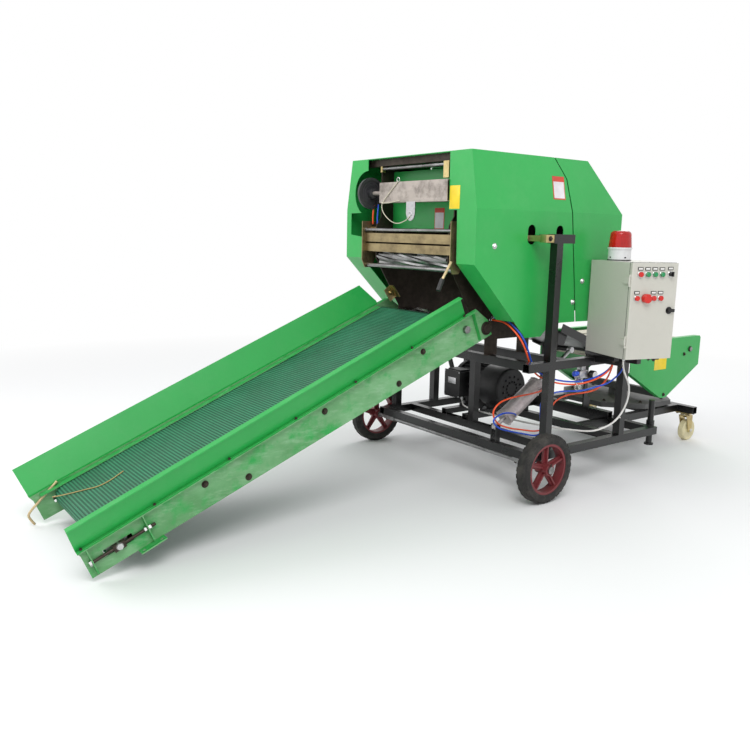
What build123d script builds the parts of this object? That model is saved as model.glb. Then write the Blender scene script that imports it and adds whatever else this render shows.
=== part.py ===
from build123d import *
import os
from math import atan2, cos, hypot, radians, sin

# Small stationary silage round baler on four wheels, with an inclined belt conveyor in
# front, a bale chamber under folded sheet covers and a turning wrapping table behind.
# Millimetres. +X runs rearwards, the way the crop and the bale travel, and +Z is up.
# The covers' flat side with the control box is the near side, at -Y.
# Until the end, X = 0 is the front axle and Z = 0 the ground.

os.makedirs("parts", exist_ok=True)

# Driving dimensions: running gear and frame
wheel_dia = 320.0
wheel_width = 60.0
wheel_track = 1278.0
tyre_section = 42.0
axle_dia = 25.0
axle_play = 0.1
beam = 40.0
beam_wall = 3.0
frame_half_width = 579.0
frame_length = 950.0
upper_frame_top = 632.5
rear_frame_end = 1590.0
caster_dia = 125.0
caster_width = 38.0
caster_trail = 24.0
caster_y = 361.0

# Driving dimensions: bale chamber and covers
work_line = -15.0
chamber_width = 530.0
plate_t = 6.0
sheet_t = 3.0
cover_half_width = 478.0
cover_front = -335.0
cover_rear = 649.0
crease_z = 1305.0
roof_z = 1547.0
roof_inset = 44.0
roof_rear = 415.0
seam_gap = 8.0
gate_hinge_x = 150.0
gate_hinge_z = 1528.0
gate_hinge_r = 10.0

# Driving dimensions: conveyor, set by its pivot on the lower feed roll
pivot_x = -112.0
pivot_z = 772.0
conveyor_tilt = 22.4
conveyor_half_width = 325.0
conveyor_reach = 1963.0
conveyor_plate_t = 4.0
board_flare = 50.0
belt_t = 6.0
roller_dia = 84.0

# Driving dimensions: wrapping table
table_x = 1350.0
table_plate_half = 338.0
table_half_width = 327.0
table_top = 627.0
table_roller_dia = 110.0

# Driving dimensions: control box
box_width = 250.0
box_depth = 290.0
box_height = 436.0
box_wall = 3.0
box_turn = -17.0
box_corner_x = 333.0
box_corner_y = -772.0
box_base_z = 652.0

# Sizes that follow from them
wheel_r = wheel_dia / 2
axle_r = axle_dia / 2
frame_z = wheel_r + axle_r + beam / 2
frame_top = frame_z + beam / 2
rail_y = frame_half_width - beam / 2
upper_z = upper_frame_top - beam / 2
chamber_near = work_line - chamber_width / 2
chamber_far = work_line + chamber_width / 2
touch = 0.3


# Helpers for boxes, tubes, rods and plates
def block(x0, x1, y0, y1, z0, z1):
    return Pos((x0 + x1) / 2, (y0 + y1) / 2, (z0 + z1) / 2) * Box(x1 - x0, y1 - y0, z1 - z0)


def square_tube(x0, x1, y0, y1, z0, z1, along, wall=beam_wall):
    # A square tube filling the given box, open at both ends of the named axis.
    outer = block(x0, x1, y0, y1, z0, z1)
    cut = {"x": (0, wall, wall), "y": (wall, 0, wall), "z": (wall, wall, 0)}[along]
    over = {"x": (1, 0, 0), "y": (0, 1, 0), "z": (0, 0, 1)}[along]
    inner = block(
        x0 + cut[0] - over[0], x1 - cut[0] + over[0],
        y0 + cut[1] - over[1], y1 - cut[1] + over[1],
        z0 + cut[2] - over[2], z1 - cut[2] + over[2],
    )
    return outer - inner


def tube_x(x0, x1, y, z, side=beam):
    return square_tube(x0, x1, y - side / 2, y + side / 2, z - side / 2, z + side / 2, "x")


def tube_y(y0, y1, x, z, side=beam):
    return square_tube(x - side / 2, x + side / 2, y0, y1, z - side / 2, z + side / 2, "y")


def tube_z(z0, z1, x, y, side=beam):
    return square_tube(x - side / 2, x + side / 2, y - side / 2, y + side / 2, z0, z1, "z")


def rod_y(x, z, y0, y1, r):
    return Pos(x, (y0 + y1) / 2, z) * Rot(90, 0, 0) * Cylinder(r, abs(y1 - y0))


def rod_x(y, z, x0, x1, r):
    return Pos((x0 + x1) / 2, y, z) * Rot(0, 90, 0) * Cylinder(r, abs(x1 - x0))


def rod_z(x, y, z0, z1, r):
    return Pos(x, y, (z0 + z1) / 2) * Cylinder(r, abs(z1 - z0))


def rod_between(a, b, r):
    # A round bar from point a to point b.
    start, end = Vector(*a), Vector(*b)
    along = end - start
    return extrude(Plane(origin=start, z_dir=along) * Circle(r), amount=along.length)


def side_plate(points, y0, y1):
    # A plate whose outline lies in X and Z, between the planes y0 and y1.
    face = Plane(origin=(0, y1, 0), x_dir=(1, 0, 0), z_dir=(0, -1, 0)) * make_face(Polyline(*points, close=True))
    return extrude(face, amount=y1 - y0)


def cross_plate(points, x0, x1):
    # A plate whose outline lies in Y and Z, between the planes x0 and x1.
    face = Plane(origin=(x0, 0, 0), x_dir=(0, 1, 0), z_dir=(1, 0, 0)) * make_face(Polyline(*points, close=True))
    return extrude(face, amount=x1 - x0)


def sheet(points, t):
    # A flat sheet through corners in space; it thickens towards the side from which they run clockwise.
    return extrude(make_face(Polyline(*points, close=True)), amount=-t)


def join(pieces):
    whole = pieces[0]
    for piece in pieces[1:]:
        whole = whole + piece
    return whole


def save(name, shape):
    nodes[name] = shape


nodes = {}


# Lower frame: a ladder of square tube with a narrower rear part for the wrapping table
cross_x = (0.0, 200.0, 640.0, frame_length - beam / 2)
rear_rail_y = 285.0
rear_cross_half = 420.0


def make_lower_frame():
    inner = rail_y - beam / 2
    pieces = [
        tube_x(-beam / 2, frame_length, side * rail_y, frame_z) for side in (-1, 1)
    ]
    for x in cross_x:
        pieces.append(tube_y(-inner, inner, x, frame_z))
    for side in (-1, 1):
        y = work_line + side * rear_rail_y
        pieces.append(tube_x(cross_x[3] + beam / 2, rear_frame_end - beam, y, frame_z))
        pieces.append(tube_x(cross_x[2] + beam / 2, cross_x[3] - beam / 2, y, frame_z))
    pieces.append(tube_y(-rear_cross_half, rear_cross_half, rear_frame_end - beam / 2, frame_z))
    near, far = work_line - rear_rail_y + beam / 2, work_line + rear_rail_y - beam / 2
    pieces.append(tube_y(near, far, table_x, frame_z))
    return join(pieces)


# What is welded to the lower frame is gathered here and joined at the end.
frame_parts = [make_lower_frame()]

# Cross tube laid on the rear rails, open at both ends
frame_parts.append(tube_y(work_line - 315, work_line + 315, 880, frame_top + beam / 2))

# Posts: columns are x, y, foot height and head height
post_x = (86.0, 650.0)
posts = [
    (post_x[0], -rail_y, frame_top, upper_frame_top - beam),
    (post_x[0], rail_y, frame_top, upper_frame_top - beam),
    (cross_x[2], -rail_y, frame_top, upper_frame_top - beam),
    (cross_x[2], rail_y, frame_top, upper_frame_top - beam),
    (370.0, rail_y, frame_top, upper_frame_top - beam),
    (cross_x[1], 40.0, frame_top, upper_frame_top - beam),
]
upper_front = -70.0
upper_cross_x = (-20.0, 200.0)
tee_bar_z = 1184.0
tee_bar = (46.0, 184.0)


def make_upper_frame():
    inner = rail_y - beam / 2
    pieces = [tube_z(z0, z1, x, y) for x, y, z0, z1 in posts]
    for side in (-1, 1):
        pieces.append(tube_x(upper_front, cross_x[2] + beam / 2, side * rail_y, upper_z))
        pieces.append(tube_z(upper_frame_top, tee_bar_z - beam / 2, post_x[0], side * rail_y))
        pieces.append(tube_x(tee_bar[0], tee_bar[1], side * rail_y, tee_bar_z))
        seat = chamber_near - plate_t if side < 0 else chamber_far + plate_t
        inside = side * (rail_y - beam / 2)
        ends = sorted((inside, inside - side * 8))
        pieces.append(block(0, 70, ends[0], ends[1], tee_bar_z - 12, tee_bar_z + 18))
        pieces.append(block(0, 22, min(seat, ends[1]), max(seat, ends[0]), tee_bar_z - 8, tee_bar_z + 14))
    for x in upper_cross_x:
        pieces.append(tube_y(-inner, inner, x, upper_z))
    return join(pieces)


upper_parts = [make_upper_frame()]


# Front axle: one round bar in saddles under the front cross tube, with end collars
collar_t = 8.0
hub_r = 27.0
hub_len = 70.0
hub_side = hub_len / 2 + 0.4
axle_half = wheel_track / 2 + hub_side


def make_axle():
    pieces = [rod_y(0, wheel_r, -axle_half, axle_half, axle_r)]
    for side in (-1, 1):
        y = side * 500.0
        pieces.append(block(-18, 18, y - 45, y + 45, wheel_r - 8, frame_z - beam / 2))
        pieces.append(rod_y(0, wheel_r, side * axle_half, side * (axle_half + collar_t), 17))
        inside = side * (wheel_track / 2 - hub_side)
        pieces.append(rod_y(0, wheel_r, inside, inside - side * collar_t, 17))
    return join(pieces)


save("front_axle", make_axle())

# Front wheels: solid tyre on a cast rim with five ribbed spokes
rim_r = wheel_r - tyre_section
spoke_count = 5


def wheel_tyre():
    half = wheel_width / 2
    outline = Polyline(
        (rim_r, -half + 4), (rim_r + 14, -half), (wheel_r - 12, -half), (wheel_r, -half + 12),
        (wheel_r, half - 12), (wheel_r - 12, half), (rim_r + 14, half), (rim_r, half - 4), close=True,
    )
    return revolve(Plane.XZ * make_face(outline), axis=Axis.Z)


def wheel_rim():
    ring = Cylinder(rim_r, wheel_width - 12) - Cylinder(rim_r - 11, wheel_width)
    web = Cylinder(hub_r, hub_len)
    for i in range(spoke_count):
        flat = make_face(Polyline((hub_r - 6, -17), (rim_r - 6, -11), (rim_r - 6, 11), (hub_r - 6, 17), close=True))
        spoke = Pos(0, 0, -5) * extrude(flat, amount=10)
        rib = Pos((hub_r + rim_r) / 2 - 6, 0, 0) * Box(rim_r - hub_r, 7, 34)
        web = web + Rot(0, 0, i * 360 / spoke_count + 18) * (spoke + rib)
    web = web + ring
    return web - Cylinder(axle_r + axle_play, hub_len + 2)


for side, name in ((-1, "near"), (1, "far")):
    place = Pos(0, side * wheel_track / 2, wheel_r) * Rot(90, 0, 0)
    save(f"front_tyre_{name}", place * wheel_tyre())
    save(f"front_rim_{name}", place * wheel_rim())

# Rear casters under the ends of the rear cross tube
caster_r = caster_dia / 2
caster_x = rear_frame_end - beam / 2
caster_top = frame_z - beam / 2
caster_plate_t = 5.0
kingpin_r = 8.0
caster_axle_r = 6.0


def caster_plate(y):
    # Plate bolted under the tube, with the swivel's kingpin.
    plate = block(caster_x - 35, caster_x + 35, y - 45, y + 45, caster_top - caster_plate_t, caster_top)
    pin = rod_z(caster_x, y, caster_top - 30, caster_top - caster_plate_t, kingpin_r)
    return plate + pin


def caster_fork(y):
    # Swivel head and two cheeks that carry the wheel's pin.
    head_top = caster_top - caster_plate_t - touch
    head = rod_z(caster_x, y, head_top - 14, head_top, 26) - rod_z(caster_x, y, 100, head_top + 1, kingpin_r + 0.1)
    crown_z = head_top - 18
    crown = block(caster_x - 24, caster_x + caster_trail + 14, y - 27, y + 27, crown_z, crown_z + 5)
    crown = crown - rod_z(caster_x, y, 100, head_top + 1, kingpin_r + 6)
    pieces = [head, crown]
    for s in (-1, 1):
        cheek = side_plate(
            [
                (caster_x - 24, crown_z + 5), (caster_x + caster_trail - 14, caster_r - 12),
                (caster_x + caster_trail + 14, caster_r - 12), (caster_x + caster_trail + 14, crown_z + 5),
            ],
            y + s * 25 - 2, y + s * 25 + 2,
        )
        pieces.append(cheek)
    pieces.append(rod_y(caster_x + caster_trail, caster_r, y - 30, y + 30, caster_axle_r))
    return join(pieces)


def caster_wheel(y):
    half = caster_width / 2
    outline = Polyline(
        (caster_axle_r + 0.1, -half - 2), (16, -half - 2), (16, -half + 4), (caster_r - 14, -half + 4),
        (caster_r - 8, -half), (caster_r - 4, -half), (caster_r, -half + 6), (caster_r, half - 6),
        (caster_r - 4, half), (caster_r - 8, half), (caster_r - 14, half - 4), (16, half - 4),
        (16, half + 2), (caster_axle_r + 0.1, half + 2), close=True,
    )
    wheel = revolve(Plane.XZ * make_face(outline), axis=Axis.Z)
    return Pos(caster_x + caster_trail, y, caster_r) * Rot(90, 0, 0) * wheel


save("caster_plates", caster_plate(-caster_y) + caster_plate(caster_y))
for side, name in ((-1, "near"), (1, "far")):
    save(f"caster_fork_{name}", caster_fork(side * caster_y))
    save(f"caster_wheel_{name}", caster_wheel(side * caster_y))

# Parking jack: a pipe in a sleeve on the last cross tube's near end
jack_x = frame_length + 24.0
jack_y = -520.0
jack_r = 16.0
jack_foot_z = 100.0
jack_top_z = 345.0


def make_jack_sleeve():
    sleeve = rod_z(jack_x, jack_y, frame_z - beam / 2, frame_top + 20, jack_r + 5)
    sleeve = sleeve + block(frame_length, jack_x, jack_y - 12, jack_y + 12, frame_z - 14, frame_z + 14)
    return sleeve - rod_z(jack_x, jack_y, 0, 400, jack_r + 0.1)


frame_parts.append(make_jack_sleeve())
save("jack_leg", rod_z(jack_x, jack_y, jack_foot_z, jack_top_z, jack_r) + rod_z(
    jack_x, jack_y, jack_foot_z, jack_foot_z + 8, 24))

# Electric motor, across the machine on two rails between the cross tubes
motor_x = 420.0
motor_r = 110.0
motor_near = -20.0
motor_len = 350.0
motor_rail_h = 30.0
motor_foot_t = 14.0
motor_rails = (85.0, 250.0)
motor_z = frame_top + motor_rail_h + motor_foot_t + motor_r + 8
shaft_r = 19.0


def make_motor():
    fan_end = motor_near + 75
    drive_end = motor_near + motor_len
    body = rod_y(motor_x, motor_z, fan_end, drive_end, motor_r - 12)
    fins = []
    for i in range(16):
        angle = i * 360 / 16
        fin = block(motor_r - 16, motor_r, -3, 3, -(drive_end - fan_end - 60) / 2, (drive_end - fan_end - 60) / 2)
        middle = (fan_end + drive_end) / 2 - 5
        fins.append(Pos(motor_x, middle, motor_z) * Rot(90, 0, 0) * Rot(0, 0, angle + 11.25) * fin)
    flange = rod_y(motor_x, motor_z, drive_end - 26, drive_end, motor_r)
    shaft = rod_y(motor_x, motor_z, drive_end, drive_end + 70, shaft_r)
    feet = []
    for y in motor_rails:
        feet.append(block(motor_x - 108, motor_x + 108, y - 22, y + 22, motor_z - motor_r - 22, motor_z - motor_r - 8))
        feet.append(block(motor_x - 70, motor_x + 70, y - 14, y + 14, motor_z - motor_r - 10, motor_z - motor_r + 40))
    return join([body] + fins + [flange, shaft] + feet)


def make_fan_cover():
    # A drawn cover with a rounded back and a ring of air slots.
    fan_end = motor_near + 75
    cover = rod_y(motor_x, motor_z, motor_near, fan_end, motor_r + 3)
    cover = fillet(cover.edges().filter_by(GeomType.CIRCLE).group_by(Axis.Y)[0], 14)
    for i in range(12):
        for r in (38.0, 66.0):
            a = radians(i * 30 + (15 if r > 50 else 0))
            x, z = motor_x + r * cos(a), motor_z + r * sin(a)
            cover = cover - rod_y(x, z, motor_near - 1, motor_near + 6, 7)
    return cover


def make_terminal_box():
    housing = block(motor_x - motor_r - 62, motor_x - motor_r + 16, 90, 210, motor_z - 10, motor_z + 95)
    return fillet(housing.edges().filter_by(Axis.Y), 8)


save("motor", make_motor() + make_terminal_box())
save("motor_fan_cover", make_fan_cover())


def motor_rail(y):
    rail = block(cross_x[1] - 20, cross_x[2] + 20, y - 20, y + 20, frame_top, frame_top + motor_rail_h)
    return rail - block(cross_x[1] - 30, cross_x[2] + 30, y - 16, y + 16, frame_top - 1, frame_top + motor_rail_h - 4)


frame_parts += [motor_rail(y) for y in motor_rails]

# Belt drive from the motor up to the chamber's shaft, behind the far cover
drive_y = motor_near + motor_len + 40.0
drive_x = 300.0
drive_z = 870.0
small_pulley_r = 50.0
large_pulley_r = 110.0


def make_pulleys():
    small = rod_y(motor_x, motor_z, drive_y - 20, drive_y + 20, small_pulley_r) - rod_y(
        motor_x, motor_z, drive_y - 30, drive_y + 30, shaft_r)
    large = rod_y(drive_x, drive_z, drive_y - 20, drive_y + 20, large_pulley_r)
    hub = rod_y(drive_x, drive_z, chamber_far + plate_t, drive_y + 20, 20)
    return small + (large + hub)


def make_drive_belt():
    # Outer and inner loops are each two discs with the strip between their tangents.
    def loop(extra, y0, y1):
        dx, dz = drive_x - motor_x, drive_z - motor_z
        gap = hypot(dx, dz)
        tilt = atan2(dz, dx)
        r1, r2 = small_pulley_r + extra, large_pulley_r + extra
        lean = (r1 - r2) / gap
        points = []
        for r, cx, cz, sgn in (
            (r1, motor_x, motor_z, 1), (r2, drive_x, drive_z, 1),
            (r2, drive_x, drive_z, -1), (r1, motor_x, motor_z, -1),
        ):
            a = tilt + sgn * (radians(90) - lean)
            points.append((cx + r * cos(a), cz + r * sin(a)))
        body = side_plate(points, y0, y1)
        return join([
            body, rod_y(motor_x, motor_z, y0, y1, r1), rod_y(drive_x, drive_z, y0, y1, r2)])
    return loop(10, drive_y - 15, drive_y + 15) - loop(0.3, drive_y - 16, drive_y + 16)


save("drive_pulleys", make_pulleys())
save("drive_belt", make_drive_belt())

# The split between the fixed front half and the tailgate: columns are x and z
seam_top = (180.0, roof_z)
seam_knee = (253.0, 1454.0)
seam_crease = (276.0, crease_z)
seam_low_z = 793.0
seam_lean = (347.0 - 276.0) / (crease_z - seam_low_z)


def seam_x(z):
    # The split's place at a height below the crease.
    return seam_crease[0] + (crease_z - z) * seam_lean


# Chamber side plates, front half, standing on the upper frame with two feet each
lower_roll_r = 50.0
upper_roll_x = -275.0
upper_roll_z = 1080.0
upper_roll_r = 40.0
roll_shaft_r = 14.0
chamber_low = 727.0
chamber_top = 1500.0
beam_back_x = -285.0


def front_plate(y0, y1):
    half_gap = seam_gap / 2
    plate = side_plate(
        [
            (-312, 1070), (-160, 830), (-165, chamber_low + 10), (-60, chamber_low - 20),
            (-60, upper_frame_top), (20, upper_frame_top), (20, chamber_low - 20),
            (160, chamber_low - 20), (160, upper_frame_top), (240, upper_frame_top),
            (240, chamber_low), (seam_x(chamber_low) - half_gap, chamber_low),
            (seam_crease[0] - half_gap, crease_z), (seam_knee[0] - 40, 1450), (174, 1500),
            (174, roof_z - 6), (126, roof_z - 6), (110, gate_hinge_z - 30),
            (-150, chamber_top + 12), (beam_back_x, chamber_top + 12),
            (beam_back_x, 1270), (-312, 1230),
        ],
        y0, y1,
    )
    for x, z, r in ((pivot_x, pivot_z, roll_shaft_r), (upper_roll_x, upper_roll_z, roll_shaft_r)):
        plate = plate - rod_y(x, z, y0 - 1, y1 + 1, r + 0.1)
    return plate


chamber_parts = [
    front_plate(chamber_near - plate_t, chamber_near),
    front_plate(chamber_far, chamber_far + plate_t),
    block(-302, -272, -430, 430, 1512, roof_z - sheet_t),
]


# Feed rolls: a tube with raised helical flutes on a stub shaft at each end
def fluted_roll(radius, length, shaft_half, flutes=6, twist=120.0):
    core = radius - 9
    roll = Cylinder(core, length)
    flute = make_face(Polyline((core - 3, -8), (radius, -5), (radius, 5), (core - 3, 8), close=True))
    steps = 6
    for i in range(flutes):
        for k in range(steps):
            low = Pos(0, 0, -length / 2 + k * length / steps) * Rot(0, 0, i * 360 / flutes + k * twist / steps)
            high = Pos(0, 0, -length / 2 + (k + 1) * length / steps) * Rot(
                0, 0, i * 360 / flutes + (k + 1) * twist / steps)
            roll = roll + loft([low * flute, high * flute], ruled=True)
    shaft = Cylinder(roll_shaft_r, shaft_half * 2)
    return roll + shaft


roll_len = chamber_width - 12


def placed_roll(x, z, radius, shaft_half):
    return Pos(x, work_line, z) * Rot(90, 0, 0) * fluted_roll(radius, roll_len, shaft_half)


save("lower_feed_roll", placed_roll(pivot_x, pivot_z, lower_roll_r, conveyor_half_width + 12))
save("upper_feed_roll", placed_roll(upper_roll_x, upper_roll_z, upper_roll_r, chamber_width / 2 + plate_t + 14))


# Covers: folded sheet on both sides, leaning inwards above the crease
def lean_y(side, z, half=cover_half_width):
    # The cover's outer face at a height above the crease.
    return side * (half - roof_inset * (z - crease_z) / (roof_z - crease_z))


def upper_panel(side, corners):
    # A sheet in the leaning plane through (x, z) corners.
    outer = [(x, lean_y(side, z), z) for x, z in corners]
    face = make_face(Polyline(*outer, close=True))
    inward = Vector(0, -side, -roof_inset / (roof_z - crease_z)).normalized()
    return extrude(face, amount=sheet_t, dir=inward)


cheek_low = 1069.0
flange_low = 812.0
keel = (2.0, 736.0)
hole_width = 50.0
hole_height = 88.0
cover_holes = ((8.0, 1200.0), (196.0, 1200.0))


def front_cover(side):
    half_gap = seam_gap / 2
    outer = side * cover_half_width
    inner = side * (cover_half_width - sheet_t)
    low, high = min(outer, inner), max(outer, inner)
    panel = side_plate(
        [
            (cover_front, cheek_low), keel, (104, 736), (170, seam_low_z),
            (seam_x(seam_low_z) - half_gap, seam_low_z), (seam_crease[0] - half_gap, crease_z),
            (cover_front, crease_z),
        ],
        low, high,
    )
    for x, z in cover_holes:
        reach = (hole_height - hole_width) / 2
        slot = block(x - hole_width / 2, x + hole_width / 2, low - 1, high + 1, z - reach, z + reach)
        slot = slot + rod_y(x, z + reach, low - 1, high + 1, hole_width / 2)
        slot = slot + rod_y(x, z - reach, low - 1, high + 1, hole_width / 2)
        panel = panel - slot
    upper = upper_panel(side, [
        (cover_front, crease_z), (seam_crease[0] - half_gap, crease_z), (seam_knee[0] - half_gap, seam_knee[1]),
        (seam_top[0] - half_gap, roof_z), (cover_front, roof_z)])
    strip = block(
        cover_front, seam_top[0] - half_gap,
        min(side * 300, side * (cover_half_width - roof_inset)),
        max(side * 300, side * (cover_half_width - roof_inset)),
        roof_z - sheet_t, roof_z)
    run = (cheek_low - flange_low) / (cheek_low - keel[1])
    flap_x = cover_front + run * (keel[0] - cover_front)
    slope = [(cover_front, cheek_low), (flap_x, flange_low), (flap_x + 3, flange_low + 3), (cover_front + 3, cheek_low + 3)]
    flange_inner = side * 365.0 if side < 0 else 339.0
    flange = side_plate(slope, min(flange_inner, outer), max(flange_inner, outer))
    return join([panel, upper, strip, cheek(side), flange])


def cheek(side):
    # The narrow front face; the far one is cut out round the disc and notched below it.
    outer_low = side * cover_half_width
    outer_high = side * (cover_half_width - roof_inset)
    if side < 0:
        outline = [
            (outer_low, cheek_low), (-365, cheek_low), (-357, 1298), (-305, 1298), (-300, roof_z),
            (outer_high, roof_z), (outer_low, crease_z)]
        return cross_plate(outline, cover_front, cover_front + sheet_t)
    outline = [
        (outer_low, cheek_low), (339, cheek_low), (345, 1172), (440, 1182), (440, 1288), (345, 1290),
        (300, 1290), (300, roof_z), (outer_high, roof_z), (outer_low, crease_z)]
    plate = cross_plate(outline, cover_front, cover_front + sheet_t)
    return plate - rod_x(disc_y + 10, disc_z, cover_front - 1, cover_front + sheet_t + 1, 108)


# End disc of the twine roll in the mouth
disc_x = -318.0
disc_y = 290.0
disc_z = 1384.0
disc_r = 76.0

save("front_cover_near", front_cover(-1))
save("front_cover_far", front_cover(1))
save("front_roof", block(
    cover_front, seam_top[0] - seam_gap / 2, -300 + touch, 300 - touch, roof_z - sheet_t, roof_z))

# Tailgate: the rear half of the chamber plates and covers, hinged at the top
gate_low = 790.0
gate_rear_low = (649.0, 930.0)


def gate_cover(side):
    half_gap = seam_gap / 2
    outer = side * cover_half_width
    inner = side * (cover_half_width - sheet_t)
    panel = side_plate(
        [
            (seam_x(seam_low_z) + half_gap, seam_low_z), (530, gate_low), gate_rear_low,
            (cover_rear, crease_z), (seam_crease[0] + half_gap, crease_z),
        ],
        min(outer, inner), max(outer, inner),
    )
    upper = upper_panel(side, [
        (seam_crease[0] + half_gap, crease_z), (cover_rear, crease_z), (roof_rear, roof_z),
        (seam_top[0] + half_gap, roof_z), (seam_knee[0] + half_gap, seam_knee[1])])
    return panel + upper


def make_gate_back():
    # Roof, sloping back, upright back and sloping lower back, folded from one sheet.
    half = cover_half_width
    top_half = cover_half_width - roof_inset
    roof = block(seam_top[0] + seam_gap / 2, roof_rear, -top_half, top_half, roof_z - sheet_t, roof_z)
    slope = sheet(
        [(roof_rear, -top_half, roof_z), (cover_rear, -half, crease_z), (cover_rear, half, crease_z),
         (roof_rear, top_half, roof_z)], sheet_t)
    back = block(cover_rear - sheet_t, cover_rear, -half, half, gate_rear_low[1], crease_z)
    low = side_plate(
        [gate_rear_low, (556, 821), (553, 824), (gate_rear_low[0] - 3, gate_rear_low[1] + 3)], -half, half)
    return join([roof, slope, back, low])


save("tailgate_cover", join([gate_cover(-1), gate_cover(1), make_gate_back()]))


def gate_plate(y0, y1):
    # It lies close inside the cover; its neck to the hinge stays below the fixed roof when open.
    half_gap = seam_gap / 2
    inner_rear = cover_rear - sheet_t - touch
    inner_top = roof_z - sheet_t - touch
    plate = side_plate(
        [
            (seam_x(gate_low) + half_gap, gate_low + 6), (528.7, gate_low + 6), (inner_rear, 933.2),
            (inner_rear, crease_z - 1.4), (roof_rear - 1.7, inner_top), (gate_hinge_x + 40, inner_top),
            (gate_hinge_x + 40, gate_hinge_z - 26), (gate_hinge_x + 14, gate_hinge_z - 12),
            (gate_hinge_x - 10, gate_hinge_z - 10), (gate_hinge_x, gate_hinge_z - 38),
            (seam_knee[0] + 20, 1440), (seam_crease[0] + half_gap, crease_z),
        ],
        y0, y1,
    )
    plate = plate + rod_y(gate_hinge_x, gate_hinge_z, y0, y1, gate_hinge_r + 4.5)
    return plate - rod_y(gate_hinge_x, gate_hinge_z, y0 - 1, y1 + 1, gate_hinge_r + 0.1)


gate_plate_gap = 5.0
gate_near = chamber_near - 2 * plate_t - gate_plate_gap
gate_far = chamber_far + plate_t + gate_plate_gap
gate_parts = [gate_plate(gate_near, gate_near + plate_t), gate_plate(gate_far, gate_far + plate_t)]
chamber_parts.append(rod_y(gate_hinge_x, gate_hinge_z, gate_near - 12, gate_far + plate_t + 12, gate_hinge_r))


# Tailgate cylinders, one beside each chamber plate, opened at the rod's eye
gate_base = (0.0, 840.0)
gate_eye = (360.0, 1180.0)
gate_cylinder_out = 42.0
cylinder_r = 22.0
cylinder_rod_r = 9.0
eye_side = 2.0
eye_play = 0.5


def cylinder_parts(base, eye, y, barrel_end, radius, rod_radius):
    # Barrel with an eye at its base, and a rod whose eye sits at the far pin.
    length = hypot(eye[0] - base[0], eye[1] - base[1])
    ux, uz = (eye[0] - base[0]) / length, (eye[1] - base[1]) / length

    def point(s):
        return (base[0] + ux * s, y, base[1] + uz * s)

    half = rod_radius + eye_side
    barrel = rod_between(point(30), point(barrel_end), radius)
    barrel = barrel + rod_between(point(10), point(34), rod_radius)
    barrel = barrel + rod_y(base[0], base[1], y - half, y + half, 16)
    barrel = barrel - rod_between(point(44), point(barrel_end + 5), rod_radius + 0.1)
    barrel = barrel - rod_y(base[0], base[1], y - half - 1, y + half + 1, 8.1)
    rod = rod_between(point(52), point(length - 10), rod_radius)
    rod = rod + rod_y(eye[0], eye[1], y - half, y + half, 15)
    return barrel, rod


def make_gate_cylinders():
    barrels, rods, lugs, ears = [], [], [], []
    for side, plate_y, gate_y in (
        (-1, chamber_near - plate_t, gate_near),
        (1, chamber_far + plate_t, gate_far + plate_t),
    ):
        y = plate_y + side * gate_cylinder_out
        barrel, rod = cylinder_parts(gate_base, gate_eye, y, 440, cylinder_r, cylinder_rod_r)
        barrels.append(barrel)
        rods.append(rod)
        reach = cylinder_rod_r + eye_side + eye_play
        lugs.append(rod_y(gate_base[0], gate_base[1], plate_y, y + side * reach, 8))
        lugs.append(rod_y(gate_base[0], gate_base[1], plate_y, y - side * reach, 14))
        ears.append(rod_y(gate_eye[0], gate_eye[1], gate_y, y - side * reach, 14))
    return barrels, rods, lugs, ears


gate_barrels, gate_rods, gate_lugs, gate_ears = make_gate_cylinders()
save("tailgate_cylinder_barrels", join(gate_barrels))
save("tailgate_cylinder_rods", join(gate_rods))
save("chamber_front_plates", join(chamber_parts + gate_lugs))
save("tailgate_plates", join(gate_parts + gate_ears))

# Mouth: cross members, twine beam, guide bars and their zinc brackets
mouth_near = -340.0
mouth_far = 318.0
bracket_t = 5.0

save("mouth_panel", block(-212, -209, chamber_near + touch, chamber_far - touch, 1215, 1490))


def make_twine_beam():
    # Box beam across the mouth with the disc's shaft in its end and a stay to the far plate.
    beam_body = block(-345, beam_back_x, -300, 190, 1336, 1430) - block(-342, beam_back_x - 3, -301, 187, 1339, 1427)
    stay = block(beam_back_x, beam_back_x + 8, 150, chamber_far, 1350, 1420)
    return join([beam_body, stay, rod_y(disc_x, disc_z, 190, disc_y + 40, 10)])


save("twine_beam", make_twine_beam())


def make_mouth_brackets():
    pieces = []
    for y in (mouth_near, mouth_far):
        outline = [(-352, 1250), (-352, 1060), (-334, 1022), (-300, 1022), (-262, 1075), (-262, 1250)]
        plate = side_plate(outline, y - bracket_t / 2, y + bracket_t / 2)
        seat = chamber_near - plate_t if y < 0 else chamber_far + plate_t
        for z in (1120, 1215):
            plate = plate + rod_y(-290, z, y, seat, 9)
        pieces.append(plate)
    return join(pieces)


def make_guide_bars():
    near, far = mouth_near + bracket_t / 2, mouth_far - bracket_t / 2
    return join([
        rod_y(-332, 1209, near, far, 7),
        block(-330, -326, near, far, 1150, 1192),
        block(-328, -324, near, far, 1103, 1142),
        rod_y(-318, 1036, mouth_near, mouth_far, 9),
    ])


save("mouth_guides", make_mouth_brackets() + make_guide_bars())
save("upper_guide_rod", join([
    rod_y(-290, 1500, -240, 240, 8),
    block(-306, -274, -262, -226, 1440, 1512),
    block(-300, -280, 230, 244, 1484, 1512),
]))
save("twine_disc", join([
    rod_y(disc_x, disc_z, disc_y, disc_y + 14, disc_r) - rod_y(disc_x, disc_z, disc_y - 1, disc_y + 5, disc_r - 14),
    rod_y(disc_x, disc_z, disc_y - 20, disc_y + 14, 24),
]) - rod_y(disc_x, disc_z, disc_y - 30, disc_y + 30, 10.1))

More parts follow.
